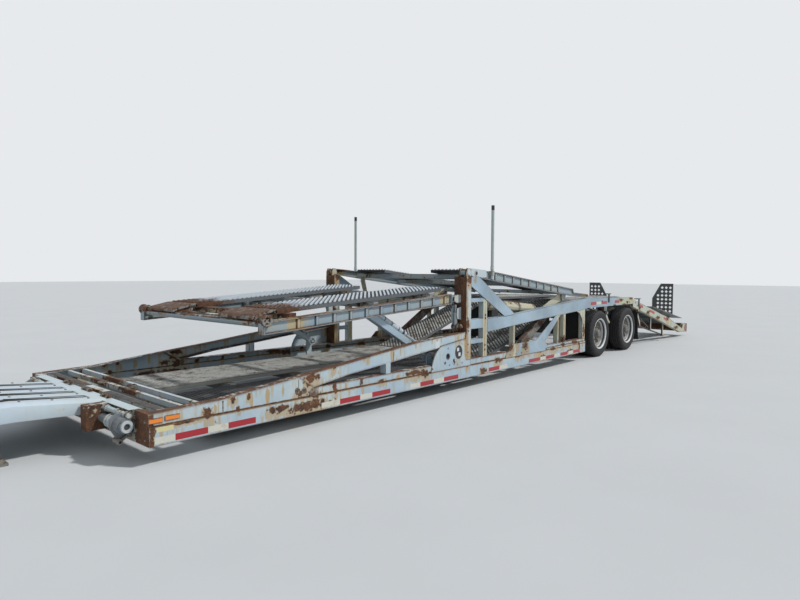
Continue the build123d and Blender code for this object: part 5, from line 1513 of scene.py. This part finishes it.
class TRAILER_OT_deck_fittings(bpy.types.Operator):
    """Makes the front deck's winch, the runways' end rolls and the bands of the slung cylinders"""
    bl_idname = "trailer.deck_fittings"
    bl_label = "Deck fittings"

    def make_winch(self):
        rows = ((1.196, 0.055, 0.032, 0.030), (1.170, 0.042, 0.026, 0.090), (1.085, 0.052, 0.026, 0.014))
        hub = [collar(at(DECK_WINCH_X, y, DECK_WINCH_Z), outer, inner, width, steps=32)
               for y, outer, inner, width in rows]
        shaft = ((0, 0.012), (0.002, 0.015), (0.150, 0.015))
        hub.append(stepped_disc(at(DECK_WINCH_X, 1.186, DECK_WINCH_Z), shaft))
        centre = Vector(at(DECK_WINCH_X, 1.180, DECK_WINCH_Z))
        for number in range(4):
            angle = math.radians(45 + 90 * number)
            spoke = Vector((math.cos(angle), 0, math.sin(angle)))
            across = Vector((-spoke.z, 0, spoke.x)) * 0.005
            root, tip = centre + spoke * 0.012, centre + spoke * 0.035
            hub.append(plate([root - across, tip - across, tip + across, root + across], (0, 0.006, 0)))
        paired(hub, "deck_winch_hubs", "rusty steel", "front_deck")

    def execute(self, context):
        self.make_winch()
        width = TRACK_OUTER - TRACK_INNER
        tips = [side_plate(TIP, TRACK_INNER, width, 0.002)]
        tips += [side_plate(TIP_WEB, y, 0.010, 0.001)
                 for y in (TRACK_INNER + 0.02, (TRACK_INNER + TRACK_OUTER) / 2, TRACK_OUTER - 0.03)]
        paired(tips, "runway_tips", "rusty steel", "front_deck")

        low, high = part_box("front_deck_runways")
        roll = stepped_disc((high.x - 0.006, TRACK_OUTER, low.z + 0.020),
                            ((0, 0.012), (0.004, 0.016), (width - 0.004, 0.016), (width, 0.012)))
        paired([roll], "runway_end_rolls", "rusty steel", "front_deck")

        start, end = Vector(at(3.300, 1.095, 1.019)), Vector(at(2.040, 1.095, 0.905))
        run = end - start
        axis = -run.normalized()
        up = Vector((-axis.z, 0, axis.x))
        bands = [collar(start + run * share, 0.0785, 0.073, width, axis, up, 36)
                 for share, width in ((0.010, 0.030), (0.30, 0.045), (0.62, 0.045), (0.955, 0.050))]
        paired([smooth(joined(bands))], "cylinder_bands", "rusty steel", "rear_deck")
        return {"FINISHED"}


class TRAILER_OT_lift_fittings(bpy.types.Operator):
    """Makes the rings and gland nut of the front lifts' cylinders, their jackets and the pins' caps"""
    bl_idname = "trailer.lift_fittings"
    bl_label = "Lift fittings"

    def execute(self, context):
        head, foot = Vector(at(5.480, 1.050, 1.020)), Vector(at(4.460, 1.050, 0.455))
        along = (foot - head).normalized()
        rise = Vector((along.z, 0, -along.x))
        ram = head + rise * 0.067

        def ring(distance, outer, inner, width, steps=32):
            return collar(ram + along * distance, outer, inner, width, -along, rise, steps)

        rings = [ring(distance, 0.0315, 0.027, width) for distance, width in (
            (0.172, 0.016), (0.300, 0.012), (0.430, 0.012), (0.560, 0.012), (0.640, 0.030))]
        rings.append(ring(0.7195, 0.0225, 0.0155, 0.012, 6))
        jacket = smooth(joined([ring(0.145, 0.0305, 0.0275, 0.270), ring(0.420, 0.0305, 0.0275, 0.290)]))
        pin = stepped_disc((head.x, 1.0865, head.z), ((0, 0.012), (0.001, 0.0155), (0.0065, 0.0155)))
        dark = joined([*rings, pin])
        for side, sign in SIDES.items():
            turn = Matrix() if sign > 0 else MIRROR
            body = f"front_lift_sleeve_{side}"
            dress(smooth(copy_of(dark, turn)), f"lift_cylinder_rings_{side}", body, "dark steel")
            dress(copy_of(jacket, turn), f"lift_cylinder_jackets_{side}", body, "pale steel")
        bpy.data.objects.remove(dark)
        bpy.data.objects.remove(jacket)
        return {"FINISHED"}


# Side views of the rocker hangers, the mud flaps and the stays under the ramp
HANGER_FOOT = ((-0.70, 0.86), (-0.54, 0.86), (-0.555, 0.78), (-0.590, 0.70), (-0.650, 0.70), (-0.685, 0.78))
HANGER_ARM = ((-0.575, 0.765), (-0.545, 0.735), (-0.585, 0.640), (-0.660, 0.560), (-0.745, 0.520),
              (-0.760, 0.550), (-0.690, 0.605), (-0.640, 0.670))
HANGER_PIN = ((0, 0.020), (0.003, 0.028), (0.016, 0.030), (0.018, 0.018), (0.100, 0.018))
REAR_FLAP = ((-1.775, 0.725), (-1.781, 0.50), (-1.797, 0.32), (-1.825, 0.150), (-1.831, 0.150),
             (-1.804, 0.32), (-1.788, 0.50), (-1.782, 0.725))
FRONT_FLAP = ((0.648, 0.812), (0.637, 0.50), (0.608, 0.190), (0.601, 0.190), (0.630, 0.50), (0.641, 0.812))
FLAP_CHEEK = ((-1.809, 0.735), (-1.765, 0.735), (-1.690, 0.860), (-1.835, 0.800))
RAMP_BRACKET = ((-1.705, 0.800), (-1.745, 0.815), (-1.970, 0.470), (-1.990, 0.400), (-1.955, 0.395),
                (-1.925, 0.455))
# Stays: place, height of the foot. Struts: place and height of the rear end, and of the front end
RAMP_STAYS = ((-3.37, 0.105), (-2.62, 0.300))
RAMP_STRUTS = ((-3.37, 0.130, -1.90, 0.420), (-2.62, 0.310, -1.90, 0.640))


class TRAILER_OT_running_gear(bpy.types.Operator):
    """Makes the rocker hangers between the wheels, the mud flaps and the stays under the ramp"""
    bl_idname = "trailer.running_gear"
    bl_label = "Running gear"

    def execute(self, context):
        hanger = [side_plate(HANGER_FOOT, 1.06, 0.05, 0.003), side_plate(HANGER_ARM, 1.115, 0.024, 0.003),
                  stepped_disc(at(-0.600, 1.158, 0.725), HANGER_PIN)]
        paired(hanger, "rocker_hangers", "post paint")
        flaps = [side_plate(REAR_FLAP, 0.800, 0.470), side_plate(FRONT_FLAP, 0.800, 0.380)]
        paired(flaps, "mud_flaps", "tyre rubber")
        bars = [block(at(-1.805, 0.790, 0.700), at(-1.769, 1.280, 0.738), 0.003),
                block(at(0.630, 0.790, 0.795), at(0.662, 1.215, 0.830), 0.003)]
        paired(bars, "mud_flap_bars", "post paint")

        stays = [side_plate(FLAP_CHEEK, 1.250, 0.030, 0.002), side_plate(RAMP_BRACKET, 1.222, 0.028, 0.002)]
        for x, foot in RAMP_STAYS:
            head = height_on(RAMP_UNDERSIDE, x)
            stays.append(block(at(x - 0.022, 1.205, foot), at(x + 0.022, 1.235, head), 0.003))
            stays.append(block(at(x - 0.045, 1.190, foot - 0.008), at(x + 0.045, 1.250, foot + 0.004), 0.002))
        paired(stays, "ramp_stays", "post paint")

        struts = []
        for rear, rear_z, front, front_z in RAMP_STRUTS:
            slope = math.atan2(front_z - rear_z, front - rear)
            lift = Vector((-math.sin(slope), 0, math.cos(slope))) * 0.014
            near, far = Vector(at(rear, 1.195, rear_z)), Vector(at(front, 1.195, front_z))
            struts.append(plate([near - lift, far - lift, far + lift, near + lift], (0, 0.010, 0), 0.001))
        paired(struts, "ramp_struts", "dark steel")
        return {"FINISHED"}


STEPS = (
    TRAILER_OT_finishes, TRAILER_OT_frame_finish, TRAILER_OT_stage, TRAILER_OT_wheels, TRAILER_OT_tape,
    TRAILER_OT_strands, TRAILER_OT_tongue, TRAILER_OT_nose, TRAILER_OT_side_details, TRAILER_OT_post_fittings,
    TRAILER_OT_deck_fittings, TRAILER_OT_lift_fittings, TRAILER_OT_running_gear,
)


class TRAILER_PT_panel(bpy.types.Panel):
    """The trailer's pieces and their sizes"""
    bl_idname = "TRAILER_PT_panel"
    bl_label = "Car transporter semi-trailer"
    bl_space_type = "VIEW_3D"
    bl_region_type = "UI"
    bl_category = "Trailer"

    def draw(self, context):
        for group in (context.scene.trailer_sizes, context.scene.trailer_colours):
            for key in group.__annotations__:
                self.layout.prop(group, key)
        for step in STEPS:
            self.layout.operator(step.bl_idname)


CLASSES = (TrailerSizes, TrailerColours, *STEPS, TRAILER_PT_panel)


def register():
    for made in CLASSES:
        bpy.utils.register_class(made)
    bpy.types.Scene.trailer_sizes = PointerProperty(type=TrailerSizes)
    bpy.types.Scene.trailer_colours = PointerProperty(type=TrailerColours)


def unregister():
    del bpy.types.Scene.trailer_colours
    del bpy.types.Scene.trailer_sizes
    for made in reversed(CLASSES):
        bpy.utils.unregister_class(made)


def main():
    """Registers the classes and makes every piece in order."""
    register()
    for step in STEPS:
        family, action = step.bl_idname.split(".")
        getattr(getattr(bpy.ops, family), action)()


if __name__ == "__main__":
    main()
